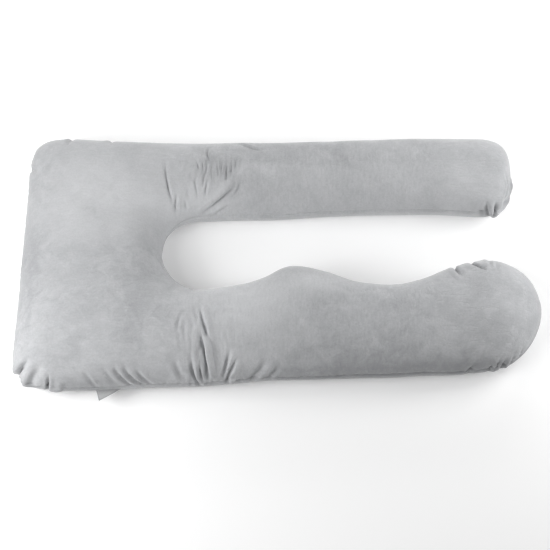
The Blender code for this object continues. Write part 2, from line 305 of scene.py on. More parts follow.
@dataclass(frozen=True)
class PillowForm:
    """The stuffed cover before its folds: sections swept from one arm's tip to the other's.

    Attributes:
        seam_height: The seam above the surface that the pillow lies on.
        fullness: Shape of a section: 2 is an ellipse, more is a flatter crown.
        under_drop: How deep the under panel would hang if nothing pressed it flat.
        pressed_roll: How softly the underside rolls on to the surface.
        seam_columns: Extra columns beside each seam, as shares of the first column's width.
        sections: The sections that the form is swept through.
        far_tip: The end of the straight far arm.
        near_tip: The end of the waved near arm.
        BOW_POWER: How late a tip's rows bend towards its outline: more is later.
    """

    seam_height: float = 0.074
    fullness: float = 2.3
    under_drop: float = 0.093
    pressed_roll: float = 0.014
    seam_columns: tuple[float, ...] = (0.2, 0.45, 0.7)
    sections: tuple[Section, ...] = SECTIONS
    far_tip: Tip = Tip(reach=0.097, squareness=3.4, drift=-0.004, end_share=0.50, bluntness=1.7)
    near_tip: Tip = Tip(reach=0.149, squareness=1.90, drift=0.020, end_share=0.45, bluntness=1.3)

    BOW_POWER: ClassVar[int] = 3

    def _tip_rows(self, tip: Tip, section: Section, fineness: int) -> list[Row]:
        """Rows from an arm's last section out to its seam, where the two panels meet.

        Args:
            tip: The arm's tip.
            section: The arm's last section.
            fineness: Rows for each row of the tip.

        Returns:
            The rows, from the section outwards.
        """
        inner, outer = np.array(section.inner), np.array(section.outer)
        middle, half = (inner + outer) / 2, (outer - inner) / 2
        end = superellipse(tip.end_share, tip.squareness)
        count = tip.rows * fineness
        rows = []
        for k in range(1, count + 1):
            turn = math.pi / 2 * k / count
            along = end * math.sin(turn)
            width = half * superellipse(along, tip.squareness)
            centre = middle + np.array((tip.reach * along, tip.drift * along**2))
            rise = math.cos(turn) ** (1 / tip.bluntness) if k < count else 0.0
            bow = (k / count) ** self.BOW_POWER
            rows.append(Row(centre - width, centre + width, section.crown, rise, tip, bow, end))
        return rows

    def _body_rows(self, fineness: int) -> tuple[list[Row], dict[str, int]]:
        """Rows between the two tips.

        Args:
            fineness: Rows for each row of the sections' table.

        Returns:
            The rows, and the number of each section's row among them.
        """
        inner = np.array([s.inner for s in self.sections])
        outer = np.array([s.outer for s in self.sections])
        crown = np.array([s.crown for s in self.sections])
        rows: list[Row] = []
        named: dict[str, int] = {}
        for i, section in enumerate(self.sections[:-1]):
            named[section.name] = len(rows)
            for k in range(section.rows * fineness):
                at = i + k / (section.rows * fineness)
                ends = smooth_value(inner, at), smooth_value(outer, at)
                rows.append(Row(*ends, float(smooth_value(crown, at))))
        named[self.sections[-1].name] = len(rows)
        rows.append(Row(inner[-1], outer[-1], float(crown[-1])))
        return rows, named

    def _across(self, columns: int) -> np.ndarray:
        """Places across a panel, from -1 at the inner seam to 1 at the outer one."""
        beside = {*self.seam_columns, *(columns - share for share in self.seam_columns)}
        return -np.cos(math.pi * np.array(sorted({*range(columns + 1), *beside})) / columns)

    def _pressed(self, height: np.ndarray) -> np.ndarray:
        """Heights with the surface underneath taken into account: flat on it, with a soft roll."""
        soft = np.maximum(0.0, height + self.pressed_roll) ** 2 / (4 * self.pressed_roll)
        return np.where(height >= self.pressed_roll, height, soft)

    def _row_points(self, row: Row, across: np.ndarray, upper: bool) -> np.ndarray:
        """Points of one row of one panel.

        Args:
            row: The row.
            across: The points' places on it, from -1 at the inner seam to 1 at the outer one.
            upper: Whether the panel is the upper one.

        Returns:
            One point for each place.
        """
        middle, half = (row.inner + row.outer) / 2, (row.outer - row.inner) / 2
        points = np.empty((len(across), 3))
        points[:, :2] = middle + across[:, None] * half
        points[:, 0] += row.bow(across)
        lift = row.rise * np.sqrt(1 - np.minimum(1.0, np.abs(across)) ** self.fullness)
        if upper:
            points[:, 2] = self.seam_height + (row.crown - self.seam_height) * lift
        else:
            points[:, 2] = self._pressed(self.seam_height - self.under_drop * lift)
        return points

    @staticmethod
    def _close_tip(ring: np.ndarray, line: np.ndarray, outward: bool) -> list[tuple[int, ...]]:
        """Faces that join the under panel's last ring to the finer line where the panels meet.

        Args:
            ring: Vertex numbers of the ring, seam to seam.
            line: Vertex numbers of the line, with the same two ends of the panel.
            outward: Whether the ring is wound the right way round as it is given.

        Returns:
            Triangles between the two.
        """
        faces: list[tuple[int, ...]] = []
        share = (len(line) - 1) / (len(ring) - 1)
        at = 0
        for k in range(len(ring) - 1):
            half_way, stop = round((k + 0.5) * share), round((k + 1) * share)
            for j in range(at, half_way):
                faces.append((ring[k], line[j], line[j + 1]))
            faces.append((ring[k], line[half_way], ring[k + 1]))
            for j in range(half_way, stop):
                faces.append((ring[k + 1], line[j], line[j + 1]))
            at = stop
        return faces if outward else [face[::-1] for face in faces]

    def mesh(self, fineness: int, upper_columns: int, under_columns: int) -> PillowMesh:
        """The closed mesh.

        Args:
            fineness: Rows for each row of the sections' tables.
            upper_columns: Columns across the upper panel.
            under_columns: Columns across the under panel.

        Returns:
            The mesh, with its rows and its seam.
        """
        body, named = self._body_rows(fineness)
        far = self._tip_rows(self.far_tip, self.sections[0], fineness)[::-1]
        rows = far + body + self._tip_rows(self.near_tip, self.sections[-1], fineness)
        named = {name: row + len(far) for name, row in named.items()}
        wide, narrow = self._across(upper_columns), self._across(under_columns)
        top = np.array([self._row_points(row, wide, True) for row in rows])
        low = np.array([self._row_points(row, narrow, False) for row in rows[1:-1]])
        upper = np.arange(top.shape[0] * top.shape[1]).reshape(top.shape[:2])
        under = np.empty(low.shape[:2], int)
        under[:, 0], under[:, -1] = upper[1:-1, 0], upper[1:-1, -1]
        inside = low[:, 1:-1]
        under[:, 1:-1] = upper.size + np.arange(inside[..., 0].size).reshape(inside.shape[:2])
        points = np.concatenate((top.reshape(-1, 3), inside.reshape(-1, 3)))
        faces: list[tuple[int, ...]] = []
        for grid, flip in ((upper, False), (under, True)):
            a, b, c, d = grid[:-1, :-1], grid[:-1, 1:], grid[1:, 1:], grid[1:, :-1]
            corners = (a, d, c, b) if flip else (a, b, c, d)
            faces += list(map(tuple, np.stack([x.ravel() for x in corners], axis=1).tolist()))
        faces += self._close_tip(under[0], upper[0], False)
        faces += self._close_tip(under[-1], upper[-1], True)
        return PillowMesh(points, faces, upper, under, named)


# ------------------------------------------------------------------------------ folds and gathers


@dataclass(frozen=True)
class Crease:
    """A fold or gather: a trough along a path on the cover, with cloth standing up beside it.

    Attributes:
        name: Where it is.
        path: Points that it runs through, on or near the stuffed form.
        half_width: From the bottom of the trough to its side, where it is deepest.
        depth: How deep it is.
        deepest: Where it is deepest, from 0 at the path's start to 1 at its end.
        roll: Height of the cloth beside it as a share of the depth, + on the left, - on the right.
        sharpness: 0 is a soft hollow, 1 a sharp fold.
        lean: How far the rolled cloth leans over the trough, as a share of the depth.
        ROLL_AT: Where the cloth beside it stands highest, in half widths.
        LEAN_AT: Where that cloth leans furthest, in half widths.
        REACH: How far from the path anything moves, in half widths.
        WIDENING: How much wider the trough is at its ends, as a share of the half width.
        SHARP_POWER: How steeply a sharp fold closes.
        FADE_POWER: How fully the depth holds on either side of the deepest place: less is fuller.
        FADE_SHARE: How much of a hump the depth fades over: its ends aren't quite flat.
        SHORTEST_FADE: Shortest stretch that it fades over, as a share of the path.
        FEWEST_STEPS: Fewest steps that the path is divided into.
        STEP: Usual length of such a step, in half widths.
    """

    name: str
    path: tuple[Point, ...]
    half_width: float
    depth: float
    deepest: float = 0.5
    roll: float = 0.0
    sharpness: float = 0.3
    lean: float = 0.0

    ROLL_AT: ClassVar[float] = 1.15
    LEAN_AT: ClassVar[float] = 0.80
    REACH: ClassVar[float] = 2.25
    WIDENING: ClassVar[float] = 0.45
    SHARP_POWER: ClassVar[float] = 1.6
    FADE_POWER: ClassVar[float] = 0.7
    FADE_SHARE: ClassVar[float] = 0.92
    SHORTEST_FADE: ClassVar[float] = 0.03
    FEWEST_STEPS: ClassVar[int] = 12
    STEP: ClassVar[float] = 0.25

    def _curve(self, form: BVHTree) -> np.ndarray:
        """Points close together along the path.

        Args:
            form: The stuffed form, which they are laid on.

        Returns:
            The points, from the path's start to its end.
        """
        knots = np.array(self.path)
        length = np.linalg.norm(np.diff(knots, axis=0), axis=1).sum()
        steps = max(self.FEWEST_STEPS, int(length / (self.STEP * self.half_width)))
        places = np.linspace(0, len(knots) - 1, steps + 1)
        return np.array([form.find_nearest(Vector(smooth_value(knots, at)))[0] for at in places])

    def _profile(self, distance: np.ndarray) -> np.ndarray:
        """The trough across, 1 at its bottom and 0 beyond its sides."""
        sharp = np.maximum(0.0, 1.0 - distance) ** self.SHARP_POWER
        return (1 - self.sharpness) * hump(distance) + self.sharpness * sharp

    def moves(
        self, points: np.ndarray, normals: np.ndarray, form: BVHTree
    ) -> tuple[np.ndarray, np.ndarray]:
        """How the crease moves the vertices near it.

        Args:
            points: The stuffed form's vertices.
            normals: Their outward normals.
            form: The stuffed form, to lay the path on.

        Returns:
            The numbers of the vertices that move, and a move for each.
        """
        curve = self._curve(form)
        reach = self.REACH * self.half_width * (1 + self.WIDENING)
        low, high = curve.min(axis=0) - reach, curve.max(axis=0) + reach
        chosen = np.nonzero(((points > low) & (points < high)).all(axis=1))[0]
        if not len(chosen):
            return chosen, np.zeros((0, 3))
        starts, runs = curve[:-1], np.diff(curve, axis=0)
        lengths = np.maximum(np.linalg.norm(runs, axis=1), TINY)
        gone = points[chosen][:, None, :] - starts[None, :, :]
        share = np.clip(np.einsum("ijk,jk->ij", gone, runs) / np.square(lengths), 0.0, 1.0)
        away = gone - share[:, :, None] * runs[None, :, :]
        squared = np.einsum("ijk,ijk->ij", away, away)
        nearest = squared.argmin(axis=1)
        pick = np.arange(len(chosen))
        before = np.concatenate(([0.0], np.cumsum(lengths)))
        along = (before[nearest] + share[pick, nearest] * lengths[nearest]) / before[-1]
        fade = np.where(along < self.deepest, self.deepest, 1.0 - self.deepest)
        off = np.abs(along - self.deepest) / np.maximum(fade, self.SHORTEST_FADE)
        strength = self.depth * hump(self.FADE_SHARE * off) ** self.FADE_POWER
        widths = self.half_width * (1 + self.WIDENING * np.minimum(off, 1.0))
        distance = np.sqrt(squared[pick, nearest]) / widths
        normal = normals[chosen]
        left = unit(np.cross(normal, runs[nearest]))
        side = np.sign(np.einsum("ij,ij->i", left, away[pick, nearest]))
        rolled = side * self.roll > 0
        beside = np.where(rolled, abs(self.roll), 0.0) * hump(distance - self.ROLL_AT)
        over = np.where(rolled, self.lean, 0.0) * hump((distance - self.LEAN_AT) / self.LEAN_AT)
        rise = strength * (beside - self._profile(distance))
        return chosen, normal * rise[:, None] - left * (side * strength * over)[:, None]


FOLDS = (
    # Where the near arm leaves the head.
    Crease("root fold, top",
           ((-0.203, -0.182, 0.178), (-0.195, -0.213, 0.182), (-0.186, -0.242, 0.181),
            (-0.176, -0.284, 0.173)),
           half_width=0.008, depth=0.0088, deepest=0.72, roll=0.40, sharpness=0.6, lean=0.4),
    Crease("root fold, main",
           ((-0.199, -0.260, 0.178), (-0.189, -0.290, 0.169), (-0.182, -0.316, 0.153),
            (-0.179, -0.337, 0.128), (-0.180, -0.352, 0.092)),
           half_width=0.0076, depth=0.017, roll=0.6, sharpness=0.8, lean=0.5),
    Crease("root gather by the seam",
           ((-0.221, -0.324, 0.147), (-0.217, -0.343, 0.122), (-0.208, -0.352, 0.091),
            (-0.198, -0.351, 0.050)),
           half_width=0.008, depth=0.013, deepest=0.55, roll=0.45, sharpness=0.7, lean=0.4),
    Crease("root gather, small",
           ((-0.202, -0.334, 0.134), (-0.197, -0.346, 0.112), (-0.193, -0.353, 0.075)),
           half_width=0.006, depth=0.008, roll=0.4, sharpness=0.6, lean=0.3),
    Crease("root line, long",
           ((-0.232, -0.277, 0.176), (-0.224, -0.295, 0.168), (-0.222, -0.317, 0.154),
            (-0.224, -0.332, 0.139)),
           half_width=0.008, depth=0.0024, deepest=0.45, roll=0.4),
    Crease("root line, left",
           ((-0.247, -0.243, 0.182), (-0.239, -0.272, 0.177), (-0.237, -0.296, 0.168)),
           half_width=0.009, depth=0.0022, roll=0.4),
    Crease("root arch, left",
           ((-0.225, -0.200, 0.181), (-0.243, -0.206, 0.182), (-0.253, -0.234, 0.183),
            (-0.260, -0.274, 0.178)),
           half_width=0.008, depth=0.0022, roll=0.5, sharpness=0.4),
    Crease("root slant, low left",
           ((-0.266, -0.318, 0.154), (-0.256, -0.340, 0.127), (-0.236, -0.354, 0.090)),
           half_width=0.011, depth=0.004, roll=-0.5, sharpness=0.2),
    Crease("neck hollow",
           ((-0.164, -0.233, 0.181), (-0.158, -0.280, 0.171), (-0.153, -0.314, 0.150),
            (-0.156, -0.339, 0.120)),
           half_width=0.028, depth=0.007, deepest=0.60, sharpness=0.0),
    Crease("neck gather, first",
           ((-0.122, -0.300, 0.156), (-0.128, -0.324, 0.137), (-0.136, -0.341, 0.108),
            (-0.142, -0.348, 0.082)),
           half_width=0.009, depth=0.010, roll=0.50, sharpness=0.6, lean=0.4),
    Crease("neck gather, second",
           ((-0.108, -0.316, 0.143), (-0.117, -0.335, 0.118), (-0.126, -0.345, 0.089),
            (-0.132, -0.346, 0.058)),
           half_width=0.0085, depth=0.014, deepest=0.55, roll=0.55, sharpness=0.7, lean=0.4),
    Crease("neck gather, third",
           ((-0.106, -0.336, 0.110), (-0.114, -0.344, 0.091), (-0.121, -0.346, 0.074)),
           half_width=0.006, depth=0.007, deepest=0.6, roll=0.3, sharpness=0.7),
    Crease("wave gather, first",
           ((-0.032, -0.312, 0.137), (-0.044, -0.331, 0.111), (-0.062, -0.340, 0.085),
            (-0.074, -0.339, 0.060)),
           half_width=0.013, depth=0.008, deepest=0.60, roll=0.30, sharpness=0.2),
    Crease("wave gather, second",
           ((0.002, -0.326, 0.118), (-0.012, -0.335, 0.096), (-0.029, -0.338, 0.072)),
           half_width=0.010, depth=0.006, deepest=0.6, roll=0.35),
    # The head's near edge, beside the label.
    Crease("edge gather, first",
           ((-0.421, -0.338, 0.146), (-0.407, -0.351, 0.120), (-0.390, -0.359, 0.098),
            (-0.372, -0.360, 0.072)),
           half_width=0.008, depth=0.009, deepest=0.70, roll=0.4, sharpness=0.6, lean=0.3),
    Crease("edge gather, second",
           ((-0.396, -0.338, 0.140), (-0.380, -0.352, 0.116), (-0.357, -0.358, 0.090),
            (-0.336, -0.358, 0.068)),
           half_width=0.008, depth=0.010, deepest=0.65, roll=0.45, sharpness=0.6, lean=0.3),
    Crease("edge gather, third",
           ((-0.362, -0.345, 0.126), (-0.347, -0.354, 0.105), (-0.322, -0.357, 0.076)),
           half_width=0.008, depth=0.007, deepest=0.6, roll=0.4, sharpness=0.5),
    Crease("edge gather, fourth",
           ((-0.446, -0.342, 0.139), (-0.430, -0.356, 0.115), (-0.408, -0.362, 0.082)),
           half_width=0.009, depth=0.0045, roll=0.3, sharpness=0.4),
    Crease("edge gather, fifth",
           ((-0.495, -0.348, 0.133), (-0.479, -0.361, 0.106), (-0.462, -0.367, 0.075)),
           half_width=0.008, depth=0.005, deepest=0.6, roll=0.4, sharpness=0.5),
    # The near corner of the head.
    Crease("corner pucker",
           ((-0.630, -0.317, 0.142), (-0.642, -0.325, 0.131), (-0.657, -0.330, 0.110),
            (-0.670, -0.328, 0.080), (-0.669, -0.322, 0.036)),
           half_width=0.0115, depth=0.024, deepest=0.70, roll=-0.10, sharpness=0.6, lean=0.2),
    Crease("corner draw-in",
           ((-0.664, -0.337, 0.108), (-0.668, -0.342, 0.082), (-0.665, -0.343, 0.055),
            (-0.660, -0.340, 0.025)),
           half_width=0.016, depth=0.009, roll=0.55, sharpness=0.0),
    Crease("corner valley",
           ((-0.600, -0.328, 0.143), (-0.614, -0.348, 0.119), (-0.629, -0.357, 0.092),
            (-0.636, -0.354, 0.055)),
           half_width=0.015, depth=0.007, deepest=0.60, roll=-0.35, sharpness=0.2),
    Crease("corner slit",
           ((-0.588, -0.351, 0.120), (-0.585, -0.358, 0.106), (-0.588, -0.364, 0.080),
            (-0.592, -0.358, 0.035)),
           half_width=0.0062, depth=0.0125, deepest=0.66, roll=0.12, sharpness=0.7, lean=0.2),
    Crease("corner lobe",
           ((-0.590, -0.360, 0.058), (-0.572, -0.367, 0.060), (-0.548, -0.368, 0.060)),
           half_width=0.020, depth=-0.0065, sharpness=0.0),
    Crease("corner tuck",
           ((-0.575, -0.364, 0.098), (-0.556, -0.368, 0.090), (-0.530, -0.369, 0.088)),
           half_width=0.0050, depth=0.0045, deepest=0.4, roll=0.5, sharpness=0.5),
    Crease("corner hollow",
           ((-0.570, -0.350, 0.124), (-0.574, -0.362, 0.100), (-0.580, -0.364, 0.066)),
           half_width=0.015, depth=0.003, deepest=0.6, roll=0.25, sharpness=0.0),
    Crease("corner crescent",
           ((-0.632, -0.353, 0.062), (-0.616, -0.360, 0.065), (-0.602, -0.364, 0.070)),
           half_width=0.0065, depth=0.007, deepest=0.7, roll=0.3, sharpness=0.6),
    # The bulb's far side.
    Crease("bulb pucker, main",
           ((0.552, -0.072, 0.167), (0.528, -0.064, 0.162), (0.512, -0.052, 0.154),
            (0.504, -0.036, 0.138), (0.500, -0.014, 0.090)),
           half_width=0.011, depth=0.020, deepest=0.55, roll=0.10, sharpness=0.7, lean=0.3),
    Crease("bulb pucker, beside",
           ((0.484, -0.060, 0.154), (0.504, -0.072, 0.165), (0.528, -0.082, 0.171)),
           half_width=0.007, depth=0.005, roll=0.4, sharpness=0.5),
    Crease("bulb pucker, left",
           ((0.481, -0.092, 0.170), (0.470, -0.074, 0.160), (0.463, -0.056, 0.147),
            (0.458, -0.038, 0.124), (0.457, -0.026, 0.080)),
           half_width=0.0095, depth=0.016, deepest=0.68, roll=0.05, sharpness=0.6, lean=0.2),
    Crease("bulb pucker, right",
           ((0.557, -0.090, 0.173), (0.553, -0.064, 0.163), (0.552, -0.030, 0.139),
            (0.551, -0.010, 0.100)),
           half_width=0.008, depth=0.005, deepest=0.55, roll=0.25, sharpness=0.5),
    Crease("bulb pucker, back",
           ((0.570, -0.086, 0.171), (0.566, -0.060, 0.160), (0.568, -0.026, 0.132)),
           half_width=0.008, depth=0.004, deepest=0.6, roll=0.3, sharpness=0.4),
    Crease("bulb line, first",
           ((0.396, -0.097, 0.156), (0.419, -0.103, 0.164), (0.449, -0.111, 0.173)),
           half_width=0.005, depth=0.0018, roll=0.3, sharpness=0.5),
    Crease("bulb line, second",
           ((0.425, -0.087, 0.160), (0.452, -0.094, 0.168), (0.475, -0.099, 0.172)),
           half_width=0.005, depth=0.0016, roll=0.3, sharpness=0.5),
    Crease("bulb line, third",
           ((0.440, -0.064, 0.146), (0.452, -0.090, 0.165), (0.468, -0.110, 0.174)),
           half_width=0.006, depth=0.0025, roll=0.3, sharpness=0.4),
    # The bulb's near side.
    Crease("bulb hollow",
           ((0.516, -0.308, 0.112), (0.504, -0.314, 0.096), (0.492, -0.318, 0.074),
            (0.489, -0.306, 0.040)),
           half_width=0.012, depth=0.009, deepest=0.60, roll=0.10, sharpness=0.2),
    Crease("bulb near gather, first",
           ((0.550, -0.309, 0.094), (0.546, -0.313, 0.078), (0.543, -0.311, 0.060),
            (0.541, -0.302, 0.040)),
           half_width=0.0085, depth=0.013, deepest=0.62, roll=0.2, sharpness=0.6),
    Crease("bulb near gather, second",
           ((0.583, -0.295, 0.098), (0.578, -0.303, 0.082), (0.575, -0.304, 0.062),
            (0.573, -0.294, 0.040)),
           half_width=0.0085, depth=0.0150, deepest=0.62, roll=0.2, sharpness=0.6),
    Crease("bulb near gather, third",
           ((0.606, -0.282, 0.102), (0.600, -0.290, 0.086), (0.595, -0.293, 0.068)),
           half_width=0.006, depth=0.004, deepest=0.55, roll=0.2, sharpness=0.6),
    Crease("bulb near gather, small",
           ((0.568, -0.300, 0.106), (0.563, -0.308, 0.088), (0.559, -0.310, 0.066)),
           half_width=0.006, depth=0.0080, deepest=0.6, roll=0.3, sharpness=0.6),
    Crease("bulb near gather, last",
           ((0.628, -0.264, 0.102), (0.622, -0.272, 0.086), (0.617, -0.273, 0.068)),
           half_width=0.006, depth=0.003, roll=0.2, sharpness=0.5),
    # The far arm's tip.
    Crease("far tip gather, first",
           ((0.554, 0.172, 0.110), (0.558, 0.163, 0.094), (0.562, 0.160, 0.074),
            (0.566, 0.163, 0.054), (0.569, 0.173, 0.028)),
           half_width=0.0085, depth=0.013, deepest=0.62, roll=0.30, sharpness=0.7, lean=0.3),
    Crease("far tip gather, second",
           ((0.581, 0.172, 0.106), (0.580, 0.163, 0.086), (0.579, 0.160, 0.068),
            (0.579, 0.165, 0.048)),
           half_width=0.0068, depth=0.012, deepest=0.55, roll=-0.2, sharpness=0.8, lean=0.2),
    Crease("far tip, ridge between",
           ((0.569, 0.170, 0.104), (0.569, 0.161, 0.081), (0.571, 0.161, 0.060)),
           half_width=0.0060, depth=-0.0032, sharpness=0.0),
    Crease("far tip gather, third",
           ((0.538, 0.166, 0.096), (0.547, 0.160, 0.076), (0.557, 0.163, 0.046)),
           half_width=0.013, depth=0.006, deepest=0.55, sharpness=0.2),
    Crease("far tip, puff at the corner",
           ((0.580, 0.164, 0.082), (0.584, 0.166, 0.060), (0.585, 0.174, 0.036)),
           half_width=0.014, depth=-0.008, sharpness=0.0),
    Crease("far tip, edge line",
           ((0.604, 0.250, 0.134), (0.613, 0.224, 0.119), (0.611, 0.200, 0.110),
            (0.600, 0.174, 0.095)),
           half_width=0.0050, depth=0.0045, deepest=0.55, roll=-0.5, sharpness=0.6),
    Crease("far tip, corner drawn in",
           ((0.618, 0.200, 0.100), (0.614, 0.184, 0.080), (0.602, 0.170, 0.054)),
           half_width=0.022, depth=0.012, sharpness=0.0),
    # Where the far arm leaves the head.
    Crease("far root, long fold",
           ((-0.301, 0.270, 0.174), (-0.299, 0.227, 0.175), (-0.294, 0.199, 0.170),
            (-0.287, 0.170, 0.157), (-0.274, 0.136, 0.127)),
           half_width=0.0068, depth=0.0072, roll=0.25, sharpness=0.5, lean=0.1),
    Crease("far root, short fold",
           ((-0.270, 0.172, 0.153), (-0.270, 0.152, 0.138), (-0.273, 0.126, 0.112)),
           half_width=0.0062, depth=0.0075, deepest=0.45, roll=0.4, sharpness=0.5),
    Crease("far root, crooked fold",
           ((-0.178, 0.322, 0.149), (-0.189, 0.298, 0.161), (-0.187, 0.274, 0.166),
            (-0.181, 0.245, 0.166)),
           half_width=0.0065, depth=0.0052, deepest=0.55, roll=0.35, sharpness=0.5, lean=0.2),
    Crease("far root, shade beside it",
           ((-0.180, 0.282, 0.165), (-0.174, 0.262, 0.166), (-0.176, 0.238, 0.165)),
           half_width=0.0090, depth=0.0040, deepest=0.40, sharpness=0.2),
    Crease("far root, fold below it",
           ((-0.194, 0.262, 0.167), (-0.191, 0.236, 0.166), (-0.198, 0.213, 0.162),
            (-0.201, 0.188, 0.152)),
           half_width=0.0055, depth=0.0050, deepest=0.65, roll=0.35, sharpness=0.5),
    Crease("far root, fold's foot",
           ((-0.189, 0.212, 0.161), (-0.191, 0.191, 0.152), (-0.197, 0.168, 0.136)),
           half_width=0.0055, depth=0.0050, roll=0.35, sharpness=0.5),
    Crease("far root, straight fold",
           ((-0.168, 0.284, 0.165), (-0.163, 0.246, 0.165), (-0.158, 0.206, 0.158)),
           half_width=0.0050, depth=0.0036, roll=0.35, sharpness=0.5),
    Crease("far root, fold before it",
           ((-0.177, 0.252, 0.166), (-0.177, 0.219, 0.162), (-0.173, 0.186, 0.149)),
           half_width=0.0045, depth=0.0028, roll=-0.3, sharpness=0.5),
    Crease("far root, second straight fold",
           ((-0.151, 0.268, 0.165), (-0.150, 0.236, 0.163), (-0.149, 0.206, 0.157)),
           half_width=0.0060, depth=0.0036, roll=0.35, sharpness=0.4),
    Crease("far root, long straight fold",
           ((-0.139, 0.276, 0.164), (-0.140, 0.236, 0.163), (-0.137, 0.196, 0.152)),
           half_width=0.0065, depth=0.0042, deepest=0.6, roll=-0.35, sharpness=0.4),
    Crease("far root, third straight fold",
           ((-0.126, 0.282, 0.163), (-0.125, 0.245, 0.164), (-0.128, 0.208, 0.157)),
           half_width=0.0050, depth=0.0036, roll=0.35, sharpness=0.5),
    Crease("far root, last straight fold",
           ((-0.112, 0.284, 0.161), (-0.114, 0.262, 0.163), (-0.113, 0.238, 0.162)),
           half_width=0.0045, depth=0.0024, roll=0.3, sharpness=0.5),
    Crease("far root, left fold",
           ((-0.205, 0.278, 0.167), (-0.201, 0.244, 0.167), (-0.203, 0.210, 0.161)),
           half_width=0.0045, depth=0.0030, roll=0.35, sharpness=0.5),
    Crease("far root, second left fold",
           ((-0.222, 0.278, 0.168), (-0.214, 0.244, 0.168), (-0.207, 0.214, 0.163)),
           half_width=0.0048, depth=0.0030, roll=-0.3, sharpness=0.5),
    Crease("far root, low left fold",
           ((-0.220, 0.222, 0.166), (-0.219, 0.190, 0.154), (-0.212, 0.162, 0.132)),
           half_width=0.0050, depth=0.0030, roll=0.3, sharpness=0.5),
    Crease("far root, soft fold",
           ((-0.240, 0.198, 0.160), (-0.238, 0.172, 0.150), (-0.236, 0.148, 0.132)),
           half_width=0.009, depth=0.003, roll=0.3),
    Crease("far root, foot",
           ((-0.245, 0.158, 0.140), (-0.244, 0.148, 0.128), (-0.243, 0.138, 0.112)),
           half_width=0.006, depth=0.004, roll=0.3, sharpness=0.5),
    Crease("far neck, diagonal",
           ((-0.094, 0.216, 0.158), (-0.124, 0.187, 0.146), (-0.147, 0.170, 0.132),
            (-0.176, 0.153, 0.110), (-0.206, 0.145, 0.078)),
           half_width=0.0125, depth=0.0110, deepest=0.48, roll=-0.75, sharpness=0.25, lean=0.3),
    Crease("far neck, second diagonal",
           ((-0.099, 0.218, 0.157), (-0.106, 0.190, 0.146), (-0.124, 0.171, 0.132),
            (-0.147, 0.158, 0.116)),
           half_width=0.0065, depth=0.0080, roll=-0.35, sharpness=0.5),
    Crease("far neck, third diagonal",
           ((-0.126, 0.158, 0.112), (-0.150, 0.151, 0.099), (-0.178, 0.146, 0.075)),
           half_width=0.0070, depth=0.0060, roll=-0.4, sharpness=0.5),
    Crease("far neck, far edge",
           ((-0.112, 0.334, 0.140), (-0.084, 0.325, 0.147), (-0.055, 0.314, 0.152),
            (-0.030, 0.318, 0.150)),
           half_width=0.007, depth=0.007, roll=0.35, sharpness=0.6, lean=0.2),
    # The head.
    Crease("head notch",
           ((-0.634, 0.240, 0.146), (-0.666, 0.277, 0.107), (-0.672, 0.288, 0.070)),
           half_width=0.011, depth=0.008, deepest=0.6, roll=0.15, sharpness=0.4),
    Crease("head far edge, first",
           ((-0.578, 0.290, 0.170), (-0.566, 0.326, 0.158), (-0.557, 0.352, 0.132),
            (-0.553, 0.366, 0.090)),
           half_width=0.010, depth=0.006, deepest=0.6, roll=0.3, sharpness=0.4),
    Crease("head far edge, second",
           ((-0.462, 0.310, 0.168), (-0.450, 0.342, 0.150), (-0.444, 0.363, 0.105)),
           half_width=0.010, depth=0.005, deepest=0.6, roll=0.3),
    Crease("head far edge, third",
           ((-0.515, 0.306, 0.171), (-0.521, 0.282, 0.177), (-0.527, 0.258, 0.181)),
           half_width=0.008, depth=0.002, roll=0.3),
    Crease("head line, long",
           ((-0.573, -0.092, 0.182), (-0.510, -0.098, 0.190), (-0.428, -0.089, 0.186)),
           half_width=0.006, depth=0.0018, roll=0.3, sharpness=0.4),
    Crease("head line, upper",
           ((-0.505, -0.084, 0.190), (-0.478, -0.082, 0.190), (-0.449, -0.082, 0.188)),
           half_width=0.006, depth=0.0012, roll=0.3, sharpness=0.4),
    Crease("head line, right",
           ((-0.436, -0.112, 0.187), (-0.414, -0.110, 0.184), (-0.392, -0.109, 0.179)),
           half_width=0.006, depth=0.0014, roll=0.3, sharpness=0.4),
    Crease("wave line, upper",
           ((-0.188, -0.188, 0.179), (-0.149, -0.182, 0.178), (-0.096, -0.182, 0.179)),
           half_width=0.009, depth=0.0020, deepest=0.4, roll=0.3),
    Crease("wave line, lower",
           ((-0.174, -0.213, 0.181), (-0.136, -0.204, 0.180), (-0.083, -0.207, 0.180)),
           half_width=0.009, depth=0.0020, deepest=0.4, roll=0.3),
    Crease("waist line",
           ((0.130, -0.116, 0.174), (0.189, -0.133, 0.168), (0.263, -0.129, 0.158)),
           half_width=0.009, depth=0.0018, roll=0.3, sharpness=0.2),
)


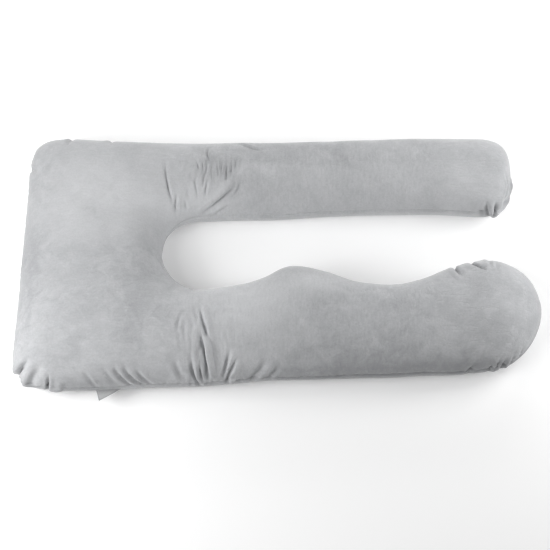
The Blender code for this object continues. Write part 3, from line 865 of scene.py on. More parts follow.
@dataclass(frozen=True)
class Ripples:
    """Many faint creases side by side where the cloth is slack, spaced out across their heading.

    Attributes:
        name: Where they are.
        middle: The middle of the patch, in plan.
        reach: Half its size along X and along Y.
        heading: Which way they run, in degrees from +X towards +Y.
        count: How many there are.
        length: Usual length.
        depth: Usual depth.
        half_width: Usual half width.
        TURN: How far one usually turns from the way they run, in degrees.
        BEND: How far one usually bends to the side, as a share of its length.
        HEIGHT: Where their paths are before they are laid on the stuffed form.
        STEEP: From this sine of the heading on they are spaced out along X, otherwise along Y.
        LENGTHS: Shortest and longest, as shares of the usual length.
        WIDTHS: Narrowest and widest, as shares of the usual half width.
        DEPTHS: Shallowest and deepest, as shares of the usual depth.
        ROLLS: Least and most of a crease's roll.
        SHARPNESS: Sharpness of each.
    """

    name: str
    middle: Plan
    reach: Plan
    heading: float
    count: int
    length: float
    depth: float
    half_width: float

    TURN: ClassVar[float] = 7.0
    BEND: ClassVar[float] = 0.07
    HEIGHT: ClassVar[float] = 0.19
    STEEP: ClassVar[float] = 0.5
    LENGTHS: ClassVar[Span] = (0.5, 1.3)
    WIDTHS: ClassVar[Span] = (0.8, 1.3)
    DEPTHS: ClassVar[Span] = (0.5, 1.4)
    ROLLS: ClassVar[Span] = (-0.6, 0.6)
    SHARPNESS: ClassVar[float] = 0.5

    def creases(self, dice: np.random.Generator) -> list[Crease]:
        """The creases of the patch, each a little different.

        Args:
            dice: What draws the differences.

        Returns:
            The creases, in the order in which they are spaced out.
        """
        made = []
        spread = (np.arange(self.count) + dice.uniform(-0.5, 0.5, self.count)) / self.count * 2 - 1
        steep = abs(math.sin(math.radians(self.heading))) > self.STEEP
        for i in range(self.count):
            along = dice.uniform(-1.0, 1.0)
            shares = (spread[i], along) if steep else (along, spread[i])
            spot = np.array(self.middle) + np.array(self.reach) * shares
            turn = math.radians(self.heading + dice.normal() * self.TURN)
            ahead = np.array((math.cos(turn), math.sin(turn)))
            run = ahead * self.length * dice.uniform(*self.LENGTHS) / 2
            across = np.array((-run[1], run[0])) * 2 * self.BEND
            bends = across * dice.normal(size=(2, 1))
            plan = (spot - run, spot - run / 3 + bends[0], spot + run / 3 + bends[1], spot + run)
            made.append(
                Crease(
                    f"{self.name} ripple {i + 1}",
                    tuple((float(x), float(y), self.HEIGHT) for x, y in plan),
                    half_width=self.half_width * dice.uniform(*self.WIDTHS),
                    depth=self.depth * dice.uniform(*self.DEPTHS),
                    roll=dice.uniform(*self.ROLLS),
                    sharpness=self.SHARPNESS,
                )
            )
        return made


RIPPLES = (
    Ripples("far root", (-0.168, 0.230), (0.062, 0.045), 89.0, 30, 0.060, 0.0013, 0.0040),
    Ripples("far shoulder", (-0.250, 0.205), (0.045, 0.060), 92.0, 14, 0.050, 0.0016, 0.0055),
    Ripples("far neck", (-0.140, 0.186), (0.040, 0.020), 38.0, 8, 0.050, 0.0013, 0.0050),
    Ripples("near root", (-0.225, -0.268), (0.045, 0.055), -84.0, 16, 0.075, 0.0024, 0.0075),
    Ripples("near neck", (-0.120, -0.270), (0.040, 0.050), -78.0, 10, 0.045, 0.0010, 0.0055),
    Ripples("near root, across", (-0.150, -0.180), (0.060, 0.030), 4.0, 10, 0.060, 0.0010, 0.0060),
    Ripples("head", (-0.480, -0.090), (0.110, 0.050), 2.0, 12, 0.090, 0.0009, 0.0070),
    Ripples("pocket", (-0.350, 0.030), (0.035, 0.080), 12.0, 12, 0.050, 0.0010, 0.0070),
    Ripples("far corner", (-0.560, 0.270), (0.070, 0.050), 60.0, 12, 0.050, 0.0012, 0.0065),
    Ripples("bulb", (0.425, -0.115), (0.050, 0.040), -5.0, 12, 0.060, 0.0010, 0.0060),
)


class Seam(Enum):
    """Which part of the seam: outside or inside the U, or round the end of an arm."""

    OUTER = "outer"
    INNER = "inner"
    FAR_TIP = "far tip"
    NEAR_TIP = "near tip"


@dataclass(frozen=True)
class GatherRun:
    """Small gathers along a stretch of seam, where the cloth is eased into it.

    Attributes:
        side: The part of the seam that they are on.
        start: The section that the stretch starts at, where it isn't round a tip.
        end: The section that it ends at.
        spacing: Usual distance from one to the next.
        length: Usual length over the upper panel, up from the seam.
        depth: Usual depth.
        half_width: Usual half width.
        FIRST: Least and most from the stretch's start to its first gather, in usual spacings.
        SPACINGS: Shortest and longest distance to the next, in usual spacings.
        LENGTHS: Shortest and longest, as shares of the usual length.
        WIDTHS: Narrowest and widest, as shares of the usual half width.
        DEPTHS: Shallowest and deepest, as shares of the usual depth.
        ROLLS: Least and most of a gather's roll.
        DEEPEST: Where each is deepest, from 0 at its upper end to 1 at its lower one.
        SHARPNESS: Sharpness of each.
        SLANT: How far the upper end may lie to one side, as a share of the length.
        HALF_WAY: How much of that its middle takes.
        BELOW: Length over the under panel, as a share of that over the upper one.
    """

    side: Seam
    start: str
    end: str
    spacing: float
    length: float
    depth: float
    half_width: float

    FIRST: ClassVar[Span] = (0.2, 0.8)
    SPACINGS: ClassVar[Span] = (0.5, 1.6)
    LENGTHS: ClassVar[Span] = (0.6, 1.7)
    WIDTHS: ClassVar[Span] = (0.8, 1.4)
    DEPTHS: ClassVar[Span] = (0.3, 1.5)
    ROLLS: ClassVar[Span] = (-0.5, 0.5)
    DEEPEST: ClassVar[float] = 0.66
    SHARPNESS: ClassVar[float] = 0.3
    SLANT: ClassVar[float] = 0.35
    HALF_WAY: ClassVar[float] = 0.4
    BELOW: ClassVar[float] = 0.55

    def gather(
        self,
        dice: np.random.Generator,
        name: str,
        along: np.ndarray,
        above: np.ndarray,
        below: np.ndarray,
    ) -> Crease:
        """One gather of the stretch.

        Args:
            dice: What draws its size.
            name: Its name.
            along: The way that the seam runs there.
            above: Points up the upper panel from the seam.
            below: Points down the under panel from the seam.

        Returns:
            The gather.
        """
        length = self.length * dice.uniform(*self.LENGTHS)
        up, down = self._walk(above, length), self._walk(below, length * self.BELOW)
        lean = unit(along) * self.SLANT * length * dice.uniform(-1.0, 1.0)
        middle = up[len(up) // 2] + lean * self.HALF_WAY
        return Crease(
            name,
            (tuple(up[-1] + lean), tuple(middle), tuple(up[0]), tuple(down[-1])),
            half_width=self.half_width * dice.uniform(*self.WIDTHS),
            depth=self.depth * dice.uniform(*self.DEPTHS),
            deepest=self.DEEPEST,
            roll=dice.uniform(*self.ROLLS),
            sharpness=self.SHARPNESS,
        )

    @staticmethod
    def _walk(points: np.ndarray, length: float) -> np.ndarray:
        """The first of some points, up to a length along them."""
        run = lengths_along(points)
        return points[: max(2, int(np.searchsorted(run, length)) + 1)]


GATHER_RUNS = (
    GatherRun(Seam.FAR_TIP, "", "", 0.021, 0.020, 0.0012, 0.0060),
    GatherRun(Seam.NEAR_TIP, "", "", 0.021, 0.024, 0.0012, 0.0065),
    GatherRun(Seam.OUTER, "far arm, end", "far arm, root", 0.030, 0.018, 0.0010, 0.0060),
    GatherRun(Seam.OUTER, "far arm, root", "far corner, start", 0.026, 0.020, 0.0013, 0.0065),
    GatherRun(Seam.OUTER, "far corner, start", "far corner, end", 0.020, 0.026, 0.0022, 0.0070),
    GatherRun(Seam.OUTER, "far corner, end", "near corner, start", 0.034, 0.020, 0.0010, 0.0070),
    GatherRun(Seam.OUTER, "near corner, start", "near corner, end", 0.026, 0.024, 0.0012, 0.0070),
    GatherRun(Seam.OUTER, "near corner, end", "near arm, root", 0.026, 0.022, 0.0009, 0.0055),
    GatherRun(Seam.OUTER, "near arm, root", "bulb", 0.026, 0.020, 0.0012, 0.0060),
    GatherRun(Seam.INNER, "far arm, end", "far arm, root", 0.028, 0.018, 0.0009, 0.0055),
    GatherRun(Seam.INNER, "near arm, neck", "waist", 0.030, 0.018, 0.0010, 0.0060),
    GatherRun(Seam.INNER, "waist", "bulb", 0.022, 0.024, 0.0018, 0.0065),
)


@dataclass(frozen=True)
class Flange:
    """A stretch where the seam's edge stands out from the cover.

    Attributes:
        name: Where it is.
        middle: The middle of the stretch.
        reach: From its middle to its ends.
        height: How far the edge stands out.
        half_width: Half the edge's thickness.
        DIP: Depth of the cloth drawn in beside it, as a share of the height.
        DIP_AT: Where that cloth is deepest, in half widths.
    """

    name: str
    middle: Point
    reach: float
    height: float
    half_width: float = 0.0042

    DIP: ClassVar[float] = 0.3
    DIP_AT: ClassVar[float] = 2.0

    def share(self, points: np.ndarray) -> np.ndarray:
        """How much of the stretch's shape some points take: 1 at its middle, 0 past its ends."""
        away = np.linalg.norm(points - np.array(self.middle), axis=1)
        return hump(away / self.reach)

    def edge(self, away: np.ndarray) -> np.ndarray:
        """How far out the edge moves points at these distances from the seam."""
        wide = away / self.half_width
        return self.height * (hump(wide) - self.DIP * hump(wide - self.DIP_AT))


FLANGES = (
    Flange("far tip", (0.632, 0.247, 0.074), 0.055, 0.0065),
    Flange("head edge", (-0.674, -0.020, 0.074), 0.140, 0.0018),
)


@dataclass(frozen=True)
class SeamLine:
    """The seam itself: a narrow groove with the cloth swelling a little on both sides.

    Attributes:
        depth: How deep the groove is.
        half_width: From its bottom to its side.
        swell: How far the cloth stands up beside it.
        flanges: Where its edge stands out instead.
        GROOVE_REACH: From the groove's bottom to where it ends, in half widths.
        SWELL_AT: From its bottom to the top of the swelling, in half widths.
        SWELL_REACH: From that top to where the swelling ends, in half widths.
    """

    depth: float = 0.0052
    half_width: float = 0.0042
    swell: float = 0.0009
    flanges: tuple[Flange, ...] = FLANGES

    GROOVE_REACH: ClassVar[float] = 1.25
    SWELL_AT: ClassVar[float] = 2.0
    SWELL_REACH: ClassVar[float] = 1.4

    def moves(self, mesh: PillowMesh) -> np.ndarray:
        """How far the seam moves each vertex, out along its normal.

        Args:
            mesh: The stuffed form.

        Returns:
            One distance for each vertex.
        """
        seam = mesh.seam()
        tree = KDTree(len(seam))
        for i, vertex in enumerate(seam):
            tree.insert(mesh.points[vertex], i)
        tree.balance()
        away = np.array([tree.find(point)[2] for point in mesh.points])
        wide = away / self.half_width
        swelling = self.swell * hump((wide - self.SWELL_AT) / self.SWELL_REACH)
        total = swelling - self.depth * hump(wide / self.GROOVE_REACH)
        for flange in self.flanges:
            share = flange.share(mesh.points)
            total = total * (1 - share) + flange.edge(away) * share
        return total


@dataclass(frozen=True)
class Folding:
    """Presses folds, gathers, lumps and the seam into the stuffed form.

    Attributes:
        seed: Which of the patterns of small gathers and ripples it is.
        lumps: Unevenness of the filling.
        seam_line: The seam.
        level_from: Rise of the surface's normal at which the unevenness begins.
        level_to: Rise from which it is full.
        ABOVE: Rows of vertices that a gather may run over on the upper panel.
        BELOW: The same on the under panel, beside the arms and the head.
        BELOW_TIP: The same on the under panel, at the tips.
    """

    seed: int = 11
    lumps: tuple[Unevenness, ...] = (
        Unevenness(wavelength=0.16, height=0.0018, seed=3),
        Unevenness(wavelength=0.055, height=0.0006, seed=4),
    )
    seam_line: SeamLine = SeamLine()
    level_from: float = 0.45
    level_to: float = 0.85

    ABOVE: ClassVar[int] = 25
    BELOW: ClassVar[int] = 9
    BELOW_TIP: ClassVar[int] = 12

    def _stretch(self, mesh: PillowMesh, run: GatherRun) -> tuple[np.ndarray, np.ndarray]:
        """The cloth beside a stretch of seam, by the numbers of its vertices.

        Args:
            mesh: The stuffed form.
            run: The stretch.

        Returns:
            Lines of vertices up the upper panel, which start on the seam, one for each vertex of
            the seam, and lines down the under panel likewise.
        """
        upper, under = mesh.upper, mesh.under
        if run.side is Seam.FAR_TIP:
            return upper[: self.ABOVE].T, self._under_tip(mesh, 0)
        if run.side is Seam.NEAR_TIP:
            return upper[: -self.ABOVE - 1 : -1].T, self._under_tip(mesh, -1)
        first, last = mesh.section_rows[run.start], mesh.section_rows[run.end]
        above, below = upper[first:last], under[first - 1 : last - 1]
        if run.side is Seam.OUTER:
            return above[:, : -self.ABOVE - 1 : -1], below[:, : -self.BELOW - 1 : -1]
        return above[:, : self.ABOVE], below[:, : self.BELOW]

    def _under_tip(self, mesh: PillowMesh, row: int) -> np.ndarray:
        """Lines of vertices down the under panel from the line where a tip ends.

        Args:
            mesh: The stuffed form.
            row: That line: 0 is the far tip's, -1 the near one's.

        Returns:
            One line for each vertex of the upper panel's line.
        """
        under = mesh.under[: self.BELOW_TIP] if row == 0 else mesh.under[: -self.BELOW_TIP - 1 : -1]
        shares = np.linspace(0, under.shape[1] - 1, mesh.upper.shape[1])
        columns = under[:, shares.round().astype(int)].T
        return np.concatenate((mesh.upper[row][:, None], columns), axis=1)

    def gathers(self, mesh: PillowMesh) -> list[Crease]:
        """The small gathers of every stretch of seam.

        Args:
            mesh: The stuffed form.

        Returns:
            The gathers, each a little different.
        """
        dice = np.random.default_rng(self.seed)
        made: list[Crease] = []
        for run in GATHER_RUNS:
            above, below = self._stretch(mesh, run)
            seam = mesh.points[above[:, 0]]
            run_to = lengths_along(seam)
            at = run.spacing * dice.uniform(*run.FIRST)
            while at < run_to[-1]:
                i = int(np.searchsorted(run_to, at))
                along = seam[min(i + 1, len(seam) - 1)] - seam[max(i - 1, 0)]
                up, down = mesh.points[above[i]], mesh.points[below[i]]
                made.append(run.gather(dice, f"gather {len(made) + 1}", along, up, down))
                at += run.spacing * dice.uniform(*run.SPACINGS)
        return made

    def press(self, mesh: PillowMesh) -> None:
        """Moves the mesh's vertices, which then stay on or above the surface underneath.

        Args:
            mesh: The stuffed form, which becomes the finished cover.
        """
        normals = mesh.normals()
        form = BVHTree.FromPolygons(mesh.points.tolist(), mesh.faces)
        total = np.zeros_like(mesh.points)
        dice = np.random.default_rng(self.seed + 1)
        ripples = [crease for patch in RIPPLES for crease in patch.creases(dice)]
        for crease in (*FOLDS, *ripples, *self.gathers(mesh)):
            chosen, moves = crease.moves(mesh.points, normals, form)
            total[chosen] += moves
        spare = self.level_to - self.level_from
        free = np.clip((normals[:, 2] - self.level_from) / spare, 0.0, 1.0)
        rise = self.seam_line.moves(mesh)
        for lumps in self.lumps:
            rise += lumps.at(mesh.points) * free
        mesh.points += total + normals * rise[:, None]
        mesh.points[:, 2] = np.maximum(mesh.points[:, 2], 0.0)


# ------------------------------------------------------------------------------ shader nodes


class Socket:
    """A shader value that Python's operators work on, each adding the Math node it needs."""

    def __init__(self, nodes: "Nodes", socket: bpy.types.NodeSocket) -> None:
        """Wraps a socket of a node tree."""
        self.nodes = nodes
        self.socket = socket

    def math(self, operation: str, *values: "Socket | float", clamp: bool = False) -> "Socket":
        """A Math node on this value and others.

        Args:
            operation: The node's operation.
            values: What goes into its first, second and third sockets.
            clamp: Whether the result is kept from 0 to 1.

        Returns:
            The node's value.
        """
        settings = {"operation": operation, "use_clamp": clamp}
        return self.nodes.add("ShaderNodeMath", settings, dict(enumerate(values)))

    def __add__(self, other: "Socket | float") -> "Socket":
        """This value plus another."""
        return self.math("ADD", self, other)

    def __radd__(self, other: float) -> "Socket":
        """A number plus this value."""
        return self.math("ADD", other, self)

    def __sub__(self, other: "Socket | float") -> "Socket":
        """This value less another."""
        return self.math("SUBTRACT", self, other)

    def __rsub__(self, other: float) -> "Socket":
        """A number less this value."""
        return self.math("SUBTRACT", other, self)

    def __mul__(self, other: "Socket | float") -> "Socket":
        """This value times another."""
        return self.math("MULTIPLY", self, other)

    def __rmul__(self, other: float) -> "Socket":
        """A number times this value."""
        return self.math("MULTIPLY", other, self)

    def __abs__(self) -> "Socket":
        """This value without its sign."""
        return self.math("ABSOLUTE", self)

    def kept(self) -> "Socket":
        """This value kept from 0 to 1."""
        return self.math("ADD", self, 0.0, clamp=True)


class Nodes:
    """The nodes of one material or world."""

    def __init__(self, tree: bpy.types.NodeTree) -> None:
        """Starts from an empty tree."""
        tree.nodes.clear()
        self.tree = tree

    def add(
        self,
        kind: str,
        settings: dict[str, object] | None = None,
        inputs: dict[int | str, object] | None = None,
        output: int | str = 0,
    ) -> Socket:
        """Adds a node.

        Args:
            kind: The node's type.
            settings: Its settings, which are set first.
            inputs: Values or links of its sockets, by name or number.
            output: The socket that is handed back.

        Returns:
            One of the node's outputs, or its first input where it has none.
        """
        node = self.tree.nodes.new(kind)
        for name, value in (settings or {}).items():
            setattr(node, name, value)
        for name, value in (inputs or {}).items():
            if isinstance(value, Socket):
                self.tree.links.new(value.socket, node.inputs[name])
            else:
                node.inputs[name].default_value = value
        return Socket(self, node.outputs[output] if node.outputs else node.inputs[0])

    def object_place(self) -> Socket:
        """Places on the object, in metres."""
        return self.add("ShaderNodeTexCoord", output="Object")

    def along(self, axis: str) -> Socket:
        """How far a place is along one of the object's axes: X, Y or Z."""
        return self.add("ShaderNodeSeparateXYZ", {}, {"Vector": self.object_place()}, axis)

    def place(
        self, scale: Point = (1.0, 1.0, 1.0), shift: Point = (0.0, 0.0, 0.0), turn: float = 0.0
    ) -> Socket:
        """Places on the object scaled along its axes, turned about its vertical one and shifted.

        Args:
            scale: Scale along each axis.
            shift: What is added to each, afterwards.
            turn: The turn, in radians.

        Returns:
            The places.
        """
        inputs = {
            "Vector": self.object_place(),
            "Location": shift,
            "Rotation": (0.0, 0.0, turn),
            "Scale": scale,
        }
        return self.add("ShaderNodeMapping", {}, inputs)

    def stretch(self, value: Socket, low: float, high: float) -> Socket:
        """A value spread so that low becomes 0 and high becomes 1, softly at both ends."""
        inputs = {"Value": value, "From Min": low, "From Max": high}
        return self.add("ShaderNodeMapRange", {"interpolation_type": "SMOOTHSTEP"}, inputs)

    def blend(self, share: Socket, first: Colour, second: Colour) -> Socket:
        """A colour between two others."""
        inputs = {0: share, 6: (*first, 1.0), 7: (*second, 1.0)}
        return self.add("ShaderNodeMix", {"data_type": "RGBA"}, inputs, 2)

    def bump(self, height: Socket, strength: float, distance: float) -> Socket:
        """Normals that a height moves, by up to a distance in metres."""
        inputs = {"Height": height, "Strength": strength, "Distance": distance}
        return self.add("ShaderNodeBump", {}, inputs)

    def surface(self, inputs: dict[int | str, object]) -> None:
        """Ends a material in a surface with these values or links."""
        shader = self.add("ShaderNodeBsdfPrincipled", {}, inputs)
        self.add("ShaderNodeOutputMaterial", {}, {"Surface": shader})


def named_material(name: str) -> tuple[bpy.types.Material, Nodes]:
    """A new material with an empty node tree.

    Args:
        name: The material's name.

    Returns:
        The material and its nodes.
    """
    material = bpy.data.materials.new(name)
    material.use_nodes = True
    return material, Nodes(material.node_tree)


@dataclass(frozen=True)
class Mottle:
    """A layer of lumps in a finish, from 0 to 1 around its middle.

    Attributes:
        scale: Lumps to the metre, about.
        detail: Octaves of finer lumps in it.
        roughness: Strength of each octave as a share of the one before.
        distortion: How far the lumps are pulled out of shape.
        tone: Its share of the colour, on the scale from dark to light.
        relief: Its share of the relief.
        MIDDLE: The value that it has most often.
    """

    scale: float
    detail: float = 2.0
    roughness: float = 0.5
    distortion: float = 0.0
    tone: float = 0.0
    relief: float = 0.0

    MIDDLE: ClassVar[float] = 0.5

    def on(self, nodes: Nodes, where: Socket) -> Socket:
        """The layer on a material.

        Args:
            nodes: The material's nodes.
            where: Places on the material.

        Returns:
            The value of the layer at each place.
        """
        inputs = {
            "Vector": where,
            "Scale": self.scale,
            "Detail": self.detail,
            "Roughness": self.roughness,
            "Distortion": self.distortion,
        }
        return nodes.add("ShaderNodeTexNoise", {}, inputs, "Fac")


@dataclass(frozen=True)
class Lines:
    """Lumps drawn out into lines: across the arms, and along X on the head and the bulb.

    Attributes:
        fine: Lines to the metre.
        long: How often a line changes along itself, to the metre.
        detail: Octaves of finer lines in it.
        level_share: Strength along X as a share of that across the arms.
        tone: Their share of the colour, on the scale from dark to light.
        relief: Their share of the relief.
        UPRIGHT: How often they change with height, to the metre.
        ROUGHNESS: Strength of each octave as a share of the one before.
        DISTORTION: How far they are pulled out of shape.
    """

    fine: float
    long: float
    detail: float
    level_share: float = 1.0
    tone: float = 0.0
    relief: float = 0.0

    UPRIGHT: ClassVar[float] = 60.0
    ROUGHNESS: ClassVar[float] = 0.62
    DISTORTION: ClassVar[float] = 0.3

    def on(self, nodes: Nodes, arms: Socket) -> Socket:
        """The lines on a material.

        Args:
            nodes: The material's nodes.
            arms: 1 on the arms, 0 on the head and the bulb.

        Returns:
            Their value at each place, from 0 to 1 around the lumps' own middle.
        """
        lumps = Mottle(1.0, self.detail, self.ROUGHNESS, self.DISTORTION)
        across = lumps.on(nodes, nodes.place((self.fine, self.long, self.UPRIGHT)))
        level = lumps.on(nodes, nodes.place((self.long, self.fine, self.UPRIGHT)))
        level = (level - lumps.MIDDLE) * self.level_share + lumps.MIDDLE
        return arms * across + (1.0 - arms) * level


@dataclass(frozen=True)
class NapAndShadingPatch:
    """A patch painted lighter or darker: painted light and shade, in places also the nap lying one
    way.

    Attributes:
        name: Where it is.
        middle: Its middle, in plan.
        reach: Half its size along X and along Y.
        lift: How much lighter the patch is painted, on the scale from dark to light.
        CORE: Where the lift begins to fade, as a share of the reach.
        RIM: Where it ends, as a share of the reach.
    """

    name: str
    middle: Plan
    reach: Plan
    lift: float

    CORE: ClassVar[float] = 0.25
    RIM: ClassVar[float] = 1.55

    def lifted(self, nodes: Nodes, wander: Socket) -> Socket:
        """The lift, which fades out over a soft and uneven rim.

        Args:
            nodes: The material's nodes.
            wander: What pushes the rim in and out, around 0.

        Returns:
            The lift of each place.
        """
        scale = (1.0 / self.reach[0], 1.0 / self.reach[1], 0.0)
        near = nodes.place(scale, (-self.middle[0] * scale[0], -self.middle[1] * scale[1], 0.0))
        away = nodes.add("ShaderNodeVectorMath", {"operation": "LENGTH"}, {0: near}, "Value")
        return (1.0 - nodes.stretch(away + wander, self.CORE, self.RIM)) * self.lift


# Patches painted lighter or darker: partly the nap lying one way, partly painted light and shade
# that evens out the cover's shading.
NAP_AND_PAINTED_LIGHT = (
    NapAndShadingPatch("head, far half", (-0.470, 0.150), (0.200, 0.120), 0.14),
    NapAndShadingPatch("far root", (-0.210, 0.150), (0.130, 0.065), 0.17),
    NapAndShadingPatch("near root", (-0.085, -0.150), (0.110, 0.080), 0.19),
    NapAndShadingPatch("beside the pocket", (-0.345, -0.120), (0.080, 0.140), -0.10),
    NapAndShadingPatch("head, short side", (-0.675, 0.040), (0.060, 0.300), -0.17),
    NapAndShadingPatch("near arm, middle", (0.240, -0.210), (0.130, 0.080), -0.08),
    NapAndShadingPatch("near arm, near side", (0.320, -0.335), (0.320, 0.050), -0.12),
    NapAndShadingPatch("bulb, end", (0.680, -0.200), (0.060, 0.140), -0.09),
    NapAndShadingPatch("far arm, far side", (-0.020, 0.310), (0.170, 0.060), -0.08),
    NapAndShadingPatch("far arm, near side", (0.400, 0.200), (0.290, 0.055), 0.10),
    NapAndShadingPatch("near root, low", (-0.110, -0.280), (0.100, 0.075), 0.12),
    NapAndShadingPatch("far root, among the folds", (-0.155, 0.240), (0.060, 0.045), -0.06),
    NapAndShadingPatch("wave, crown", (0.115, -0.112), (0.075, 0.035), 0.15),
)

# Painted shade: patches painted darker on the steep flanks above the seam and under the far tip's
# edge.
PAINTED_FLANK_SHADE = (
    NapAndShadingPatch("near arm, flank", (0.280, -0.340), (0.340, 0.080), -0.19),
    NapAndShadingPatch("head, near flank", (-0.490, -0.370), (0.085, 0.060), -0.13),
    NapAndShadingPatch("far tip, under its edge", (0.630, 0.204), (0.012, 0.055), -0.30),
)


@dataclass(frozen=True)
class VelvetPlush:
    """Short grey velvet plush: matt, mottled where the nap lies differently, with fine knit lines
    and painted light and shade.

    The knit lines run across the arms, but along the head's and the bulb's length in X.

    Attributes:
        dark: Colour where the nap stands up, also that of the deepest painted shade.
        light: Colour where it lies flat, also that of the brightest painted light.
        patches: Broad patches where the nap lies differently.
        blotches: Smaller ones.
        grain: The nap's own grain.
        tufts: Tufts of the nap.
        fibre: Its single fibres.
        knit: The knit lines.
        crinkle: What the finest creases follow.
        arm_starts: Where the lines turn between the head and the arms, in X.
        arm_ends: Where they turn between the near arm and the bulb, in X.
        level: What is added to the tone, to keep it in the middle of its scale.
        tones: The tones that are quite dark and quite light.
        nap_and_painted_light: Patches painted lighter or darker: partly the nap lying one way,
            partly painted light and shade.
        wander: How far the rims of those places go in and out.
        low_shade_from: Height below which the cover is painted darker: painted shade below the seam.
        low_shade_to: Height above which it isn't.
        low_shade_drop: How much darker that painted shade is, on the scale from dark to light.
        painted_flank_shade: Patches of painted shade on the steep flanks above the seam and under
            the far tip's edge.
        flank_shade_from: Height at which that painted shade begins.
        flank_shade_to: Height below which it is full.
        crease_narrowness: How narrow the finest creases are.
        creased: The blotches' values between which the finest creases come up.
        bump_strength: Strength of the relief.
        bump_distance: Height of the relief.
        roughness: Its least and most roughness.
        rough_at: The broad patches' values where it is least and most.
        refraction: Index of refraction of the fibres.
        specular: Strength of their gloss.
        sheen: Strength of the pale sheen at grazing angles.
        sheen_roughness: How far that sheen reaches in from the edges.
    """

    dark: Colour = (0.283, 0.288, 0.298)
    light: Colour = (0.563, 0.570, 0.582)
    patches: Mottle = Mottle(7.0, detail=4.0, roughness=0.6, distortion=0.4, tone=0.34)
    blotches: Mottle = Mottle(26.0, detail=3.0, roughness=0.68, distortion=0.8, tone=0.30)
    grain: Mottle = Mottle(230.0, roughness=0.6, tone=0.24)
    tufts: Mottle = Mottle(420.0, roughness=0.6, relief=0.45)
    fibre: Mottle = Mottle(1400.0, detail=1.0, relief=0.2)
    knit: Lines = Lines(190.0, 42.0, detail=3.0, level_share=0.55, tone=0.25, relief=0.3)
    crinkle: Lines = Lines(55.0, 9.0, detail=2.0, relief=0.9)
    arm_starts: Span = (-0.30, -0.20)
    arm_ends: Span = (0.36, 0.46)
    level: float = -0.065
    tones: Span = (0.08, 0.92)
    nap_and_painted_light: tuple[NapAndShadingPatch, ...] = NAP_AND_PAINTED_LIGHT
    wander: float = 1.2
    low_shade_from: float = 0.058
    low_shade_to: float = 0.074
    low_shade_drop: float = 0.09
    painted_flank_shade: tuple[NapAndShadingPatch, ...] = PAINTED_FLANK_SHADE
    flank_shade_from: float = 0.132
    flank_shade_to: float = 0.095
    crease_narrowness: float = 14.0
    creased: Span = (0.46, 0.62)
    bump_strength: float = 0.45
    bump_distance: float = 0.0014
    roughness: Span = (0.86, 0.94)
    rough_at: Span = (0.2, 0.8)
    refraction: float = 1.3
    specular: float = 0.15
    sheen: float = 0.35
    sheen_roughness: float = 0.45

    def _on_arms(self, nodes: Nodes) -> Socket:
        """1 on the arms, 0 on the head and the bulb."""
        along = nodes.along("X")
        return nodes.stretch(along, *self.arm_starts) * (1.0 - nodes.stretch(along, *self.arm_ends))

    def _tone(self, nodes: Nodes, patches: Socket, blotches: Socket, knit: Socket) -> Socket:
        """How light the nap looks, with painted light and shade added.

        Args:
            nodes: The material's nodes.
            patches: The broad patches.
            blotches: The smaller ones.
            knit: The knit lines.

        Returns:
            The tone of each place, on the scale from dark to light.
        """
        mottled = self.patches.tone * patches + self.blotches.tone * blotches
        grain = self.grain.on(nodes, nodes.place())
        tone = mottled + self.knit.tone * knit + self.grain.tone * grain + self.level
        height = nodes.along("Z")
        # Painted shade: the cover is darker below the seam, towards the floor.
        tone = tone - (1.0 - nodes.stretch(height, self.low_shade_from, self.low_shade_to)) * self.low_shade_drop
        wander = (blotches - self.blotches.MIDDLE) * self.wander
        # Painted light and shade in patches, partly standing for the nap lying one way.
        for shading_patch in self.nap_and_painted_light:
            tone = tone + shading_patch.lifted(nodes, wander)
        # Painted shade on the steep flanks and under the far tip's edge, fading out upwards.
        flank_shade_share = 1.0 - nodes.stretch(height, self.flank_shade_to, self.flank_shade_from)
        for shading_patch in self.painted_flank_shade:
            tone = tone + shading_patch.lifted(nodes, wander) * flank_shade_share
        return tone

    def _relief(self, nodes: Nodes, arms: Socket, blotches: Socket, knit: Socket) -> Socket:
        """Height of the nap and of the finest creases.

        Args:
            nodes: The material's nodes.
            arms: 1 on the arms, 0 on the head and the bulb.
            blotches: The smaller patches.
            knit: The knit lines.

        Returns:
            The height at each place, without a unit.
        """
        where = nodes.place()
        nap = self.tufts.relief * self.tufts.on(nodes, where)
        nap = nap + self.fibre.relief * self.fibre.on(nodes, where) + self.knit.relief * knit
        off = abs(self.crinkle.on(nodes, arms) - Mottle.MIDDLE)
        creases = (1.0 - off * self.crease_narrowness).kept()
        return nap - self.crinkle.relief * creases * nodes.stretch(blotches, *self.creased)

    def material(self) -> bpy.types.Material:
        """Builds the material.

        Returns:
            The material.
        """
        made, nodes = named_material("grey velvet plush")
        where, arms = nodes.place(), self._on_arms(nodes)
        patches, blotches = self.patches.on(nodes, where), self.blotches.on(nodes, where)
        knit = self.knit.on(nodes, arms)
        tone = nodes.stretch(self._tone(nodes, patches, blotches, knit), *self.tones)
        relief = self._relief(nodes, arms, blotches, knit)
        smooth, rough = self.roughness
        nodes.surface(
            {
                "Base Color": nodes.blend(tone, self.dark, self.light),
                "Roughness": nodes.stretch(patches, *self.rough_at) * (rough - smooth) + smooth,
                "Metallic": 0.0,
                "IOR": self.refraction,
                "Specular IOR Level": self.specular,
                "Sheen Weight": self.sheen,
                "Sheen Roughness": self.sheen_roughness,
                "Sheen Tint": (1.0, 1.0, 1.0, 1.0),
                "Normal": nodes.bump(relief, self.bump_strength, self.bump_distance),
            }
        )
        return made


